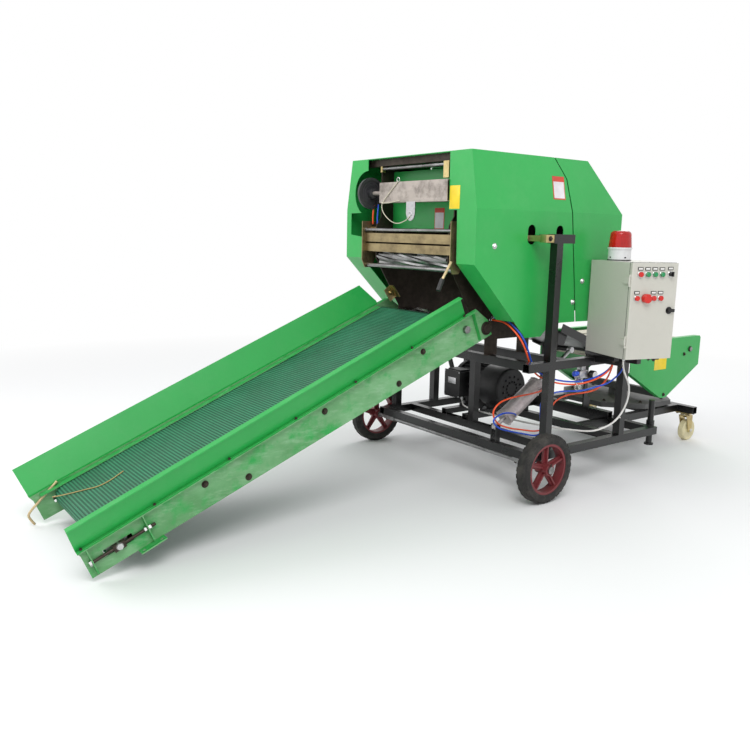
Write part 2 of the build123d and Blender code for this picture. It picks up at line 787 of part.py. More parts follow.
# Conveyor, drawn level with its pivot at the origin and then tilted about it
tilt = radians(conveyor_tilt)
conveyor_place = Location((pivot_x, work_line, pivot_z), (0, -conveyor_tilt, 0))
board_top = 229.0
flange_n = 111.0
flange_w = 22.0
tail_s = -1840.0
tail_n = 50.0
head_s = -118.0
screw_rib_s = -1730.0
screw_y = conveyor_half_width + 8.3
roller_r = roller_dia / 2
belt_half = conveyor_half_width - 24.0


def conveyor_side(side):
    # Lower upright plate with its outward flange, end ribs and foot lug.
    y0 = side * conveyor_half_width
    y1 = side * (conveyor_half_width - conveyor_plate_t)
    low, high = min(y0, y1), max(y0, y1)
    plate = side_plate(
        [
            (-conveyor_reach, -7), (-conveyor_reach, flange_n - 24), (-conveyor_reach - 8, flange_n),
            (-30, flange_n), (24, 30), (24, -43)], low, high)
    edge = side * (conveyor_half_width + flange_w)
    flange = block(-conveyor_reach - 8, -40, min(y0, edge), max(y0, edge), flange_n - 4, flange_n)
    foot_edge = side * (conveyor_half_width + 34)
    foot = block(-1790, -1690, min(y0, foot_edge), max(y0, foot_edge), -15, -10)
    foot_web = block(-1790, -1690, low, high, -15, 0)
    for s in (-1775, -1705):
        foot = foot - Pos(s, side * (conveyor_half_width + 20), -12) * Cylinder(6.5, 20)
    ribs = [
        block(s - 2, s + 2, min(y0, edge), max(y0, edge), n0, flange_n - 4)
        for s, n0 in ((-1940, 6.0), (screw_rib_s, 0.0), (-60, -30.0))
    ]
    ribs[1] = ribs[1] - rod_x(side * screw_y, tail_n, screw_rib_s - 5, screw_rib_s + 5, 6.1)
    slot_r = 14.0
    plate = plate - block(-1895, -1785, low - 1, high + 1, tail_n - slot_r, tail_n + slot_r)
    plate = plate - rod_y(head_s, tail_n, low - 1, high + 1, 17.1)
    plate = plate - rod_y(0, 0, low - 1, high + 1, roll_shaft_r + 0.1)
    return join([plate, flange, foot, foot_web] + ribs)


def conveyor_board(side):
    # Upper flared board with a folded lip, standing on the flange.
    base = conveyor_half_width
    t = conveyor_plate_t
    points = [
        (base + 18, flange_n), (base, flange_n), (base, flange_n + 6), (base + board_flare, board_top),
        (base + board_flare + 16, board_top - 6), (base + board_flare + 16, board_top - 10),
        (base + board_flare + t, board_top - 8), (base + t, flange_n + 4), (base + 18, flange_n + 4),
    ]
    outline = [(side * y, z) for y, z in points]
    board = cross_plate(outline, -conveyor_reach - 8, -107)
    upper_cut = side_plate([(-150, board_top + 5), (-100, flange_n), (-90, board_top + 5)], -500, 500)
    return board - upper_cut


def belt_strip(side):
    # Strip on the inside that covers the belt's edge.
    inner = conveyor_half_width - conveyor_plate_t
    return block(
        -conveyor_reach + 30, -120, min(side * inner, side * (inner - 34)), max(side * inner, side * (inner - 34)),
        tail_n + roller_r + belt_t + 3, tail_n + roller_r + belt_t + 6)


def make_belt():
    def loop(r, half):
        body = block(tail_s, head_s, -half, half, tail_n - r, tail_n + r)
        return body + rod_y(tail_s, tail_n, -half, half, r) + rod_y(head_s, tail_n, -half, half, r)
    return loop(roller_r + belt_t, belt_half) - loop(roller_r, belt_half + 1)


def conveyor_rollers():
    pieces = []
    for s, pin_r in ((tail_s, 13.5), (head_s, 17.0)):
        pieces.append(rod_y(s, tail_n, -belt_half + 4, belt_half - 4, roller_r))
        pieces.append(rod_y(s, tail_n, -conveyor_half_width - 16, conveyor_half_width + 16, pin_r))
    return pieces[0] + pieces[1] + (pieces[2] + pieces[3])


def belt_tensioner(side):
    # Adjusting screw between the two ribs, with its block on the roller's shaft.
    y = side * screw_y
    screw = rod_x(y, tail_n, -1938 + touch, screw_rib_s + 30, 6)
    slider = block(tail_s - 22, tail_s + 22, min(y - 8, y + 8), max(y - 8, y + 8), tail_n - 13, tail_n + 13)
    slider = slider - rod_y(tail_s, tail_n, -500, 500, 13.6)
    screw = screw - rod_y(tail_s, tail_n, -500, 500, 20)
    return screw, slider


def make_bed():
    # Cross members and a slider bed between the belt's two runs.
    inner = conveyor_half_width - conveyor_plate_t
    bed = block(-1770, -190, -inner, inner, tail_n + roller_r - 4.3, tail_n + roller_r - touch)
    crosses = [
        block(s - 20, s + 20, -inner, inner, tail_n - 10, tail_n + roller_r - 4.3) for s in (-1500, -1000, -500)]
    return join([bed] + crosses)


save("conveyor_side_plates", conveyor_place * join(
    [conveyor_side(-1), belt_strip(-1), conveyor_side(1), belt_strip(1)]))
save("conveyor_boards", conveyor_place * (conveyor_board(-1) + conveyor_board(1)))
save("conveyor_belt", conveyor_place * make_belt())
save("conveyor_bed", conveyor_place * make_bed())
save("conveyor_rollers", conveyor_place * conveyor_rollers())
save("belt_tensioners", conveyor_place * join([part for side in (-1, 1) for part in belt_tensioner(side)]))

# Control box: a hollow cabinet and its door, turned towards the operator
box_place = Location((box_corner_x, box_corner_y, box_base_z), (0, 0, box_turn))
door_t = 18.0
door_gap = 1.0
box_hinge = (-6.0, -9.0)
hinge_heights = (80.0, box_height - 80.0)


def make_cabinet():
    shell = block(0, box_width, door_gap, box_depth, 0, box_height)
    hollow = block(box_wall, box_width - box_wall, door_gap - 1, box_depth - box_wall, box_wall, box_height - box_wall)
    cabinet = shell - hollow
    cabinet = cabinet - rod_z(box_width / 2, 60, -1, box_wall + 1, 12)
    for z in hinge_heights:
        arm = block(-9, 0, door_gap, 24, z - 14, z + 14) + block(-9, -3, box_hinge[1], door_gap, z - 14, z + 14)
        knuckle = rod_z(box_hinge[0], box_hinge[1], z - 14, z + 14, 5)
        cabinet = cabinet + arm + knuckle - rod_z(box_hinge[0], box_hinge[1], z - 15, z + 15, 2.6)
    return cabinet


def make_door():
    panel = block(0, box_width, -door_t, 0, 1, box_height - 1)
    panel = fillet(panel.edges().filter_by(Axis.Z).group_by(Axis.Y)[0], 5)
    pan = panel - block(2, box_width - 2, -door_t + 2, 1, 3, box_height - 3)
    for z in hinge_heights:
        for z0 in (z - 27, z + 15):
            pan = pan + block(box_hinge[0], 2, box_hinge[1] - 3, box_hinge[1] + 3, z0, z0 + 12)
        pan = pan + rod_z(box_hinge[0], box_hinge[1], z - 27, z + 27, 2.5)
    return pan


# Controls on the door: columns are x, height, ring radius, cap radius and cap length
top_row = [(x, box_height - 52.0, 14.0, 11.0, 12.0) for x in (42, 81, 120, 159)]
low_row = [(x, box_height - 158.0, 14.0, 11.0, 12.0) for x in (32, 122, 160)]
selector = (205.0, box_height - 50.0, 14.0, 9.0, 16.0)
stop_button = (77.0, box_height - 158.0, 15.0, 20.0, 26.0)


def controls(rows):
    pieces = []
    for x, z, ring_r, cap_r, cap_len in rows:
        pieces.append(rod_y(x, z, -door_t - 4, -door_t, ring_r) + rod_y(x, z, -door_t - cap_len, -door_t - 3, cap_r))
    return join(pieces)


save("control_cabinet", box_place * make_cabinet())
save("control_door", box_place * make_door())
save("door_controls", box_place * controls(top_row + low_row + [stop_button, selector]))
save("door_handle", box_place * (block(202, 216, -door_t - 16, -door_t, 232, 292) + rod_y(
    209, 262, -door_t - 22, -door_t, 12)))

# Warning lamp on the cabinet's roof
lamp_x, lamp_y = 84.0, 195.0
lamp_base = Pos(0, 0, box_height + 28) * Cylinder(52, 56)
lamp_base = lamp_base + Pos(0, 0, box_height + 58) * Cylinder(56, 8)
save("beacon_base", box_place * Pos(lamp_x, lamp_y, 0) * lamp_base)
dome = Pos(0, 0, box_height + 62) * extrude(Circle(53), amount=76, taper=5)
dome = fillet(dome.edges().sort_by(Axis.Z)[-1], 18)
save("beacon_dome", box_place * Pos(lamp_x, lamp_y, 0) * dome)


def make_box_bracket():
    # Two arms from the near upper rail to the cabinet's base.
    arms = []
    for x in (400.0, 520.0):
        arms.append(block(x - 15, x + 15, -frame_half_width - 150, -frame_half_width, upper_z - 4, upper_frame_top))
        arms.append(block(x - 15, x + 15, -frame_half_width - 150, -frame_half_width - 60, upper_frame_top, box_base_z))
    return join(arms)


save("posts_and_upper_frame", join(upper_parts + [make_box_bracket()]))


# Wrapping table: spindle, octagonal turntable, two hanging side plates, belts and rollers
spindle_r = 30.0
deck_z = 222.0
deck_t = 28.0
deck_flat = 600.0
table_low = 281.0


def table_plate(side):
    y0 = work_line + side * table_half_width
    y1 = y0 - side * 4.0
    half = table_plate_half
    outline = [
        (table_x - half, table_top - 12), (table_x - half + 12, table_top), (table_x + half - 12, table_top),
        (table_x + half, table_top - 12), (table_x + half, 452), (table_x + 26, table_low),
        (table_x - 26, table_low), (table_x - half, 452)]
    plate = side_plate(outline, min(y0, y1), max(y0, y1))
    inward = y0 - side * 34
    top = block(table_x - half + 20, table_x + half - 20, min(inward, y0), max(inward, y0), table_top - 4, table_top)
    slope = side_plate(
        [(table_x - half, 452), (table_x - 26, table_low), (table_x - 26, table_low + 5), (table_x - half, 457)],
        min(inward, y0), max(inward, y0))
    return join([plate, top, slope])


table_roller_x = 232.0
table_roller_z = 552.0
table_shaft_r = 12.0


def make_table_plates():
    pair = table_plate(-1) + table_plate(1)
    for s in (-1, 1):
        pair = pair - rod_y(table_x + s * table_roller_x, table_roller_z, -600, 600, table_shaft_r + 0.1)
    return pair


def make_turntable():
    deck = Pos(table_x, work_line, deck_z) * extrude(
        Rot(0, 0, 22.5) * RegularPolygon(deck_flat / 2, 8, major_radius=False), amount=deck_t)
    deck = deck - Pos(table_x, work_line, deck_z - 1) * extrude(
        Rot(0, 0, 22.5) * RegularPolygon(deck_flat / 2 - 5, 8, major_radius=False), amount=deck_t - 5)
    hub = rod_z(table_x, work_line, deck_z, deck_z + 60, spindle_r + 12)
    arm = block(
        table_x - 20, table_x + 20, work_line - table_half_width + 4, work_line + table_half_width - 4,
        table_low, table_low + 40)
    table = deck + hub + arm
    return table - rod_z(table_x, work_line, deck_z - 5, deck_z + 50, spindle_r + 0.1)


def table_roller(s):
    half = table_half_width
    roller = rod_y(table_x + s * table_roller_x, table_roller_z, work_line - half + 12, work_line + half - 12,
                   table_roller_dia / 2)
    shaft = rod_y(table_x + s * table_roller_x, table_roller_z, work_line - half - 10, work_line + half + 10,
                  table_shaft_r)
    return roller + shaft


def make_table_belts():
    # Four flat belts round both rollers, each sagging a little between them.
    r = table_roller_dia / 2
    belts = []
    for y in (-210.0, -70.0, 70.0, 210.0):
        def loop(radius, w):
            x0, x1 = table_x - table_roller_x, table_x + table_roller_x
            body = block(x0, x1, work_line + y - w, work_line + y + w, table_roller_z - radius, table_roller_z + radius)
            ends = [rod_y(x, table_roller_z, work_line + y - w, work_line + y + w, radius) for x in (x0, x1)]
            return join([body] + ends)
        belts.append(loop(r + 5.3, 55) - loop(r + touch, 56))
    return join(belts)


save("table_side_plates", make_table_plates())
save("turntable", make_turntable())
save("table_roller_front", table_roller(-1))
save("table_roller_rear", table_roller(1))
save("table_belts", make_table_belts())
frame_parts.append(rod_z(table_x, work_line, frame_top, deck_z + 50 - touch, spindle_r))


# Bale ramp from the chamber's outlet down to the table, tipped by an air cylinder
ramp_hinge = (850.0, 575.0)
ramp_len = 370.0
ramp_angle = 21.0
ramp_half = 250.0
ramp_eye = (520.0, 622.0)
ramp_base = (4.0, 285.0)
ramp_cylinder_y = -320.0
ramp_rod_r = 10.0


def ramp_point(s, n):
    a = radians(180 - ramp_angle)
    return (ramp_hinge[0] + s * cos(a) + n * sin(a), ramp_hinge[1] + s * sin(a) - n * cos(a))


def make_ramp():
    near, far = work_line - ramp_half, work_line + ramp_half
    tray = side_plate([ramp_point(26, 0), ramp_point(ramp_len, 0), ramp_point(ramp_len, 4), ramp_point(26, 4)], near, far)
    pieces = [tray]
    for y in (near, far - 4):
        pieces.append(side_plate(
            [ramp_point(26, 0), ramp_point(ramp_len, 0), ramp_point(ramp_len, 45), ramp_point(26, 45)], y, y + 4))
    for y in (near + 60, far - 60):
        pieces.append(side_plate(
            [ramp_point(-16, -16), ramp_point(60, -16), ramp_point(80, 0), ramp_point(-16, 10)], y - 4, y + 4)
            - rod_y(ramp_hinge[0], ramp_hinge[1], y - 5, y + 5, 10.1))
    near_arm = ramp_cylinder_y + ramp_rod_r + eye_side + eye_play
    pieces.append(rod_y(ramp_eye[0], ramp_eye[1] + 2, near_arm, near + 30, 13))
    pieces.append(side_plate(
        [(ramp_eye[0] - 14, ramp_eye[1] - 12), (ramp_eye[0] + 26, ramp_eye[1] - 12), ramp_point(290, 0), ramp_point(365, 0)],
        near + 20, near + 26))
    return join(pieces)


def make_ramp_stand():
    # Two struts on the raised cross tube, with the ramp's hinge bar across them.
    cross_z = frame_top + beam
    near, far = work_line - ramp_half, work_line + ramp_half
    pieces = []
    for y in (near + 90, far - 90):
        pieces.append(block(ramp_hinge[0] - 13, ramp_hinge[0] + 13, y - 4, y + 4, cross_z, ramp_hinge[1] + 13))
        pieces.append(block(ramp_hinge[0] - 13, ramp_hinge[0] + 40, y - 4, y + 4, cross_z, cross_z + 60))
    pieces.append(rod_y(ramp_hinge[0], ramp_hinge[1], near + 50, far - 50, 10))
    return join(pieces)


ramp_barrel, ramp_rod = cylinder_parts(ramp_base, ramp_eye, ramp_cylinder_y, 400, 26, ramp_rod_r)
save("bale_ramp", make_ramp())
frame_parts.append(make_ramp_stand())
save("ramp_cylinder_barrel", ramp_barrel)
save("ramp_cylinder_rod", ramp_rod)
frame_parts += [
    block(ramp_base[0] - 14, ramp_base[0] + 14, ramp_cylinder_y + s * 16 - 3, ramp_cylinder_y + s * 16 + 3,
          frame_top, ramp_base[1] + 14) for s in (-1, 1)
]
frame_parts.append(rod_y(ramp_base[0], ramp_base[1], ramp_cylinder_y - 22, ramp_cylinder_y + 22, 8))
save("lower_frame", join(frame_parts))

# Origin: on the ground under the middle of the whole machine's length
origin_x = -166.75
origin_y = -96.25

for name, shape in nodes.items():
    export_step(Pos(-origin_x, -origin_y, 0) * shape, f"parts/{name}.step")

whole = Compound(children=[s for s in nodes.values()]).bounding_box()
print("nodes", len(nodes))
print("x", round(whole.min.X, 1), round(whole.max.X, 1), "y", round(whole.min.Y, 1), round(whole.max.Y, 1))
print("z", round(whole.min.Z, 1), round(whole.max.Z, 1))
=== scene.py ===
import math

import bmesh
import bpy
from mathutils import Matrix, Vector


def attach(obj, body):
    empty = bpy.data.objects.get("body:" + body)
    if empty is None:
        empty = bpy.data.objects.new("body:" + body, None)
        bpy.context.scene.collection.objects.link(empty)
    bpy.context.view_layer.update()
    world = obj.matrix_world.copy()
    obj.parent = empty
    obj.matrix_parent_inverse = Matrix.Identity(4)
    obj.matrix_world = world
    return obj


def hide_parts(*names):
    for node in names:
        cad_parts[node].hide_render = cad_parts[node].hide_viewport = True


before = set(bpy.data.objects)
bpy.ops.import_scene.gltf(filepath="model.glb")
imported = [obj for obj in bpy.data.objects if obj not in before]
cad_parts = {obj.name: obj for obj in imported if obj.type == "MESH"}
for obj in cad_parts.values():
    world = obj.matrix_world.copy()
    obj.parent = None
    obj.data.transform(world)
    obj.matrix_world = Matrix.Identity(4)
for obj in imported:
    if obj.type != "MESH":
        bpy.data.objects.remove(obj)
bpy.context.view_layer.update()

# The part's working frame is in millimetres from the front axle: these shifts lead to the model's.
SHIFT_X = 166.75
SHIFT_Y = 96.25
WORK_LINE = -15.0
X, Y, Z = Vector((1, 0, 0)), Vector((0, 1, 0)), Vector((0, 0, 1))
LEVEL = (X, Y, Z)
SIDES = (-1, 1)


def at(x, y, z):
    # A point of the working frame in the model's frame.
    return Vector(((x + SHIFT_X) / 1000, (y + SHIFT_Y) / 1000, z / 1000))


# Conveyor frame: s runs up the slope, n is square to the belt, both from the pivot
PIVOT = (-112.0, 772.0)
TILT = math.radians(22.4)
SLOPE = Vector((math.cos(TILT), 0, math.sin(TILT)))
NORMAL = Vector((-math.sin(TILT), 0, math.cos(TILT)))


def on_conveyor(s, y, n):
    return at(PIVOT[0], WORK_LINE + y, PIVOT[1]) + (SLOPE * s + NORMAL * n) / 1000


# Control box frame: x to the right along the door, y into the box, z up from its floor
BOX_CORNER = (333.0, -772.0, 652.0)
BOX_TURN = math.radians(-17.0)
BOX_X = Vector((math.cos(BOX_TURN), math.sin(BOX_TURN), 0))
BOX_Y = Vector((-math.sin(BOX_TURN), math.cos(BOX_TURN), 0))
BOX_AXES = (BOX_X, BOX_Y, Z)


def on_box(x, y, z):
    return at(*BOX_CORNER) + (BOX_X * x + BOX_Y * y + Z * z) / 1000


def srgb(red, green, blue):
    # A colour given as on a screen, 0 to 255, as linear light.
    linear = [((c / 255 + 0.055) / 1.055) ** 2.4 if c > 10 else c / 3294.6 for c in (red, green, blue)]
    return (*linear, 1.0)


# Materials
class Graph:
    """One procedural material, built node by node on a Principled shader."""

    def __init__(self, name):
        self.material = bpy.data.materials.new(name)
        self.material.use_nodes = True
        self.tree = self.material.node_tree
        self.tree.nodes.clear()
        self.surface = self.tree.nodes.new("ShaderNodeOutputMaterial").inputs[0]
        self.bsdf = self.tree.nodes.new("ShaderNodeBsdfPrincipled")
        self.put(self.surface, self.bsdf.outputs[0])
        self.coords = self.tree.nodes.new("ShaderNodeTexCoord").outputs["Object"]

    def node(self, kind, sockets, **settings):
        made = self.tree.nodes.new(kind)
        for key, value in settings.items():
            setattr(made, key, value)
        for key, value in sockets.items():
            self.put(made.inputs[key], value)
        return made

    def put(self, socket, value):
        if isinstance(value, bpy.types.NodeSocket):
            self.tree.links.new(value, socket)
        else:
            socket.default_value = value

    def set(self, **sockets):
        for key, value in sockets.items():
            self.put(self.bsdf.inputs[key.replace("_", " ")], value)

    def noise(self, scale, detail=4.0, rough=0.55, stretch=(1.0, 1.0, 1.0), offset=0.0):
        placed = {"Vector": self.coords, "Scale": stretch, "Location": (offset,) * 3}
        where = self.node("ShaderNodeMapping", placed).outputs[0]
        return self.node("ShaderNodeTexNoise", {
            "Vector": where, "Scale": scale, "Detail": detail, "Roughness": rough}).outputs["Fac"]

    def ramp(self, fac, low, high, start=0.0, end=1.0):
        return self.node("ShaderNodeMapRange", {
            "Value": fac, "From Min": low, "From Max": high, "To Min": start, "To Max": end}).outputs[0]

    def mix(self, fac, a, b):
        return self.node("ShaderNodeMix", {0: fac, 6: a, 7: b}, data_type="RGBA").outputs[2]

    def math(self, operation, a, b):
        return self.node("ShaderNodeMath", {0: a, 1: b}, operation=operation).outputs[0]

    def edges(self, width, low=0.02, high=0.25):
        # 1 on the rims of a shape and 0 on its flats.
        soft = self.node("ShaderNodeBevel", {"Radius": width}, samples=4).outputs[0]
        hard = self.node("ShaderNodeNewGeometry", {}).outputs["Normal"]
        dot = self.node("ShaderNodeVectorMath", {0: soft, 1: hard}, operation="DOT_PRODUCT").outputs["Value"]
        return self.ramp(self.math("SUBTRACT", 1.0, dot), low, high)

    def upward(self, low=0.5, high=0.95):
        normal = self.node("ShaderNodeNewGeometry", {}).outputs["Normal"]
        up = self.node("ShaderNodeSeparateXYZ", {0: normal}).outputs[2]
        return self.ramp(up, low, high)

    def bump(self, height, strength, distance=0.001):
        made = self.node("ShaderNodeBump", {"Height": height, "Strength": strength, "Distance": distance})
        self.set(Normal=made.outputs[0])


def shade(colour, factor):
    return tuple(min(1.0, c * factor) for c in colour[:3]) + (1.0,)


def paint(name, colour, rough=0.34, dust=0.12, dust_colour=(150, 150, 120), wear=0.5, bare=(120, 125, 110),
          spread=0.12, grime=0.0, coat=0.15):
    """Brushed or sprayed paint with colour drift, dust on what faces up, worn rims and fine dimples."""
    g = Graph(name)
    drift = g.noise(2.2, 5.0, 0.6)
    body = g.mix(g.ramp(drift, 0.3, 0.7), shade(colour, 1.0 - spread), shade(colour, 1.0 + spread))
    fine = g.noise(34.0, 6.0, 0.7)
    body = g.mix(g.ramp(fine, 0.55, 0.85, 0.0, 0.35), body, shade(colour, 0.8))
    dusty = g.math("MULTIPLY", g.upward(), g.ramp(g.noise(9.0, 6.0, 0.65), 0.35, 0.75, 0.0, 1.0))
    veil = g.ramp(g.noise(5.0, 8.0, 0.7), 0.5, 0.8, 0.0, dust)
    dusty = g.math("ADD", g.math("MULTIPLY", dusty, dust * 2), veil)
    body = g.mix(dusty, body, srgb(*dust_colour))
    if grime:
        spots = g.ramp(g.noise(14.0, 8.0, 0.75, offset=3.0), 0.58, 0.74, 0.0, grime)
        body = g.mix(spots, body, srgb(62, 52, 38))
    chipped = g.ramp(g.noise(22.0, 5.0, 0.7, offset=5.0), 0.42, 0.62, 0.0, wear)
    rims = g.math("MULTIPLY", g.edges(0.0022), chipped)
    body = g.mix(rims, body, srgb(*bare))
    g.set(Base_Color=body, Coat_Weight=coat, Coat_Roughness=0.25)
    g.set(Roughness=g.ramp(g.noise(7.0, 4.0), 0.3, 0.75, rough - 0.06, rough + 0.14))
    g.bump(g.math("ADD", g.noise(160.0, 2.0), g.math("MULTIPLY", g.noise(12.0, 2.0), 2.0)), 0.10, 0.0012)
    return g.material


def worn_paint(name, colour, pale, dull, rough=0.42):
    """The conveyor's side plates: paint rubbed to a pale mottle with cleaner islands left."""
    g = Graph(name)
    slow = g.noise(3.1, 6.0, 0.62, stretch=(1.0, 1.0, 2.2))
    patch = g.noise(8.5, 7.0, 0.6, offset=2.0)
    body = g.mix(g.ramp(slow, 0.38, 0.62), dull, pale)
    kept = g.ramp(patch, 0.50, 0.64)
    facing = g.node("ShaderNodeNewGeometry", {}).outputs["Normal"]
    sideways = g.node("ShaderNodeSeparateXYZ", {0: facing}).outputs[1]
    body = g.mix(g.math("MAXIMUM", kept, g.ramp(sideways, -0.6, -0.4)), body, colour)
    brush = g.noise(60.0, 4.0, 0.7, stretch=(0.25, 1.0, 1.0))
    body = g.mix(g.ramp(brush, 0.5, 0.8, 0.0, 0.3), body, srgb(190, 215, 190))
    rust = g.math("MULTIPLY", g.edges(0.004), g.ramp(g.noise(16.0, 6.0, 0.7), 0.5, 0.66, 0.0, 0.8))
    body = g.mix(rust, body, srgb(120, 92, 60))
    g.set(Base_Color=body, Roughness=g.ramp(patch, 0.3, 0.7, rough, rough + 0.2))
    g.bump(g.noise(120.0, 3.0), 0.12, 0.001)
    return g.material


def metal(name, colour, rough=0.35, spread=0.2, stain=None, stain_amount=0.5, streak=(1.0, 1.0, 1.0),
          metallic=1.0):
    """Bare or plated metal with streaks, stains and uneven polish."""
    g = Graph(name)
    grain = g.noise(45.0, 6.0, 0.65, stretch=streak)
    body = g.mix(g.ramp(grain, 0.3, 0.7), shade(colour, 1 - spread), shade(colour, 1 + spread))
    if stain:
        blot = g.ramp(g.noise(11.0, 8.0, 0.7, offset=4.0), 0.46, 0.68, 0.0, stain_amount)
        body = g.mix(blot, body, srgb(*stain))
    g.set(Base_Color=body, Metallic=metallic)
    g.set(Roughness=g.ramp(g.noise(18.0, 5.0, 0.6, offset=1.0), 0.3, 0.7, rough - 0.1, rough + 0.15))
    g.bump(grain, 0.12, 0.0006)
    return g.material


def rubber(name, colour, rough=0.7, dust=(110, 108, 100), dust_amount=0.4, grain_scale=90.0, bump=0.3):
    """Matt rubber or hard plastic with dust in its grain."""
    g = Graph(name)
    drift = g.noise(6.0, 6.0, 0.65)
    body = g.mix(g.ramp(drift, 0.3, 0.7), shade(colour, 0.8), shade(colour, 1.25))
    dusty = g.ramp(g.noise(15.0, 8.0, 0.72, offset=2.0), 0.45, 0.75, 0.0, dust_amount)
    body = g.mix(dusty, body, srgb(*dust))
    g.set(Base_Color=body, Roughness=g.ramp(drift, 0.3, 0.7, rough - 0.12, rough + 0.1))
    g.bump(g.noise(grain_scale, 3.0), bump, 0.0008)
    return g.material


def plastic(name, colour, rough=0.3, clear=0.0, spread=0.08):
    """Moulded plastic, slightly cloudy where it is clear."""
    g = Graph(name)
    drift = g.noise(25.0, 4.0)
    body = g.mix(g.ramp(drift, 0.3, 0.7), shade(colour, 1 - spread), shade(colour, 1 + spread))
    g.set(Base_Color=body, Roughness=g.ramp(g.noise(60.0, 3.0), 0.3, 0.7, rough - 0.05, rough + 0.1))
    g.set(Transmission_Weight=clear, IOR=1.45, Coat_Weight=0.2)
    g.bump(g.noise(140.0, 2.0), 0.06, 0.0005)
    return g.material


green = paint("green_paint", srgb(38, 168, 76), rough=0.36, dust=0.08, dust_colour=(150, 190, 150), wear=0.35,
              bare=(150, 200, 155), spread=0.06)
green_worn = worn_paint("green_worn", srgb(44, 158, 74), srgb(116, 172, 120), srgb(86, 146, 90))
black = paint("frame_black", srgb(9, 9, 10), rough=0.3, dust=0.03, dust_colour=(84, 80, 76), wear=0.6,
              bare=(104, 100, 96), spread=0.3, grime=0.15)
motor_black = paint("motor_black", srgb(19, 19, 21), rough=0.45, dust=0.08, dust_colour=(80, 78, 76),
                    wear=0.4, bare=(80, 78, 76), spread=0.2, coat=0.0)
dark_steel = metal("dark_steel", srgb(66, 57, 50), rough=0.5, spread=0.35, stain=(48, 40, 32),
                   stain_amount=0.7, metallic=0.6)
zinc = metal("zinc_yellow", srgb(196, 178, 128), rough=0.34, spread=0.18, stain=(120, 92, 60),
             stain_amount=0.35)
# The guide bars in the mouth: the yellow zinc made darker as painted shade, with heavier stains that are dirt
zinc_shaded_stained = metal("zinc_shaded_stained", srgb(158, 142, 106), rough=0.38, spread=0.2, stain=(74, 60, 44),
                  stain_amount=0.55, streak=(1.0, 0.3, 1.0), metallic=0.85)
beam_grey = metal("beam_grey", srgb(178, 168, 160), rough=0.42, spread=0.12, stain=(70, 62, 56),
                  stain_amount=0.7, streak=(1.0, 0.3, 1.0), metallic=0.45)
steel = metal("roll_steel", srgb(150, 150, 150), rough=0.34, spread=0.3, stain=(70, 66, 60), stain_amount=0.5,
              streak=(1.0, 0.25, 1.0))
bright = metal("bright_steel", srgb(200, 200, 200), rough=0.22, spread=0.12)
cast_grey = metal("cast_grey", srgb(200, 192, 192), rough=0.42, spread=0.14, stain=(96, 84, 78),
                  stain_amount=0.5, metallic=0.55)
aluminium = metal("aluminium", srgb(190, 190, 192), rough=0.3, spread=0.12, streak=(1.0, 1.0, 6.0))
grey_deck = paint("deck_grey", srgb(84, 84, 84), rough=0.5, dust=0.3, dust_colour=(130, 126, 120), wear=0.7,
                  bare=(140, 138, 132), spread=0.15, coat=0.0)
rim_red = paint("rim_red", srgb(112, 36, 42), rough=0.5, dust=0.2, dust_colour=(90, 62, 56), wear=0.5,
                bare=(120, 70, 62), spread=0.22, grime=0.4)
cabinet = paint("cabinet_beige", srgb(198, 196, 186), rough=0.4, dust=0.05, dust_colour=(170, 166, 154),
                wear=0.1, bare=(215, 213, 205), spread=0.03)
tyre = rubber("tyre_rubber", srgb(34, 33, 32), rough=0.8, dust=(112, 106, 98), dust_amount=0.35)
nylon = rubber("caster_nylon", srgb(214, 204, 164), rough=0.45, dust=(150, 140, 110), dust_amount=0.35,
               grain_scale=60.0, bump=0.1)
belt_green = rubber("belt_green", srgb(20, 80, 55), rough=0.62, dust=(48, 104, 76), dust_amount=0.25,
                    grain_scale=300.0)
rib_green = rubber("rib_green", srgb(46, 122, 88), rough=0.55, dust=(84, 142, 112), dust_amount=0.3,
                   grain_scale=300.0)
belt_cream = rubber("belt_cream", srgb(205, 198, 178), rough=0.6, dust=(150, 142, 120), dust_amount=0.3)
disc_black = rubber("disc_black", srgb(50, 50, 53), rough=0.42, dust=(96, 92, 88), dust_amount=0.3, bump=0.1)
drive_rubber = rubber("drive_rubber", srgb(30, 30, 30), rough=0.65)
red_clear = plastic("lamp_red", srgb(205, 22, 20), rough=0.12, clear=0.35)
lamp_white = plastic("lamp_white", srgb(226, 226, 228), rough=0.35)
red_plastic = plastic("button_red", srgb(206, 34, 26), rough=0.28)
green_plastic = plastic("button_green", srgb(22, 140, 84), rough=0.28)
black_plastic = plastic("black_plastic", srgb(20, 20, 21), rough=0.38, spread=0.2)
white_plastic = plastic("white_plastic", srgb(228, 226, 222), rough=0.4)
yellow_label = plastic("yellow_label", srgb(240, 208, 30), rough=0.42)
white_label = plastic("white_label", srgb(226, 220, 224), rough=0.42)
red_label = plastic("red_label", srgb(205, 70, 52), rough=0.42)
orange_hose = plastic("orange_hose", srgb(240, 84, 36), rough=0.3)
blue_hose = plastic("blue_hose", srgb(30, 78, 200), rough=0.3)
bowl_clear = plastic("bowl_clear", srgb(200, 205, 200), rough=0.12, clear=0.7)
straw = rubber("straw", srgb(176, 152, 98), rough=0.7, dust=(150, 130, 84), dust_amount=0.4, bump=0.2)
rod_brown = metal("rod_brown", srgb(206, 184, 142), rough=0.5, spread=0.25, stain=(110, 84, 60), metallic=0.3)

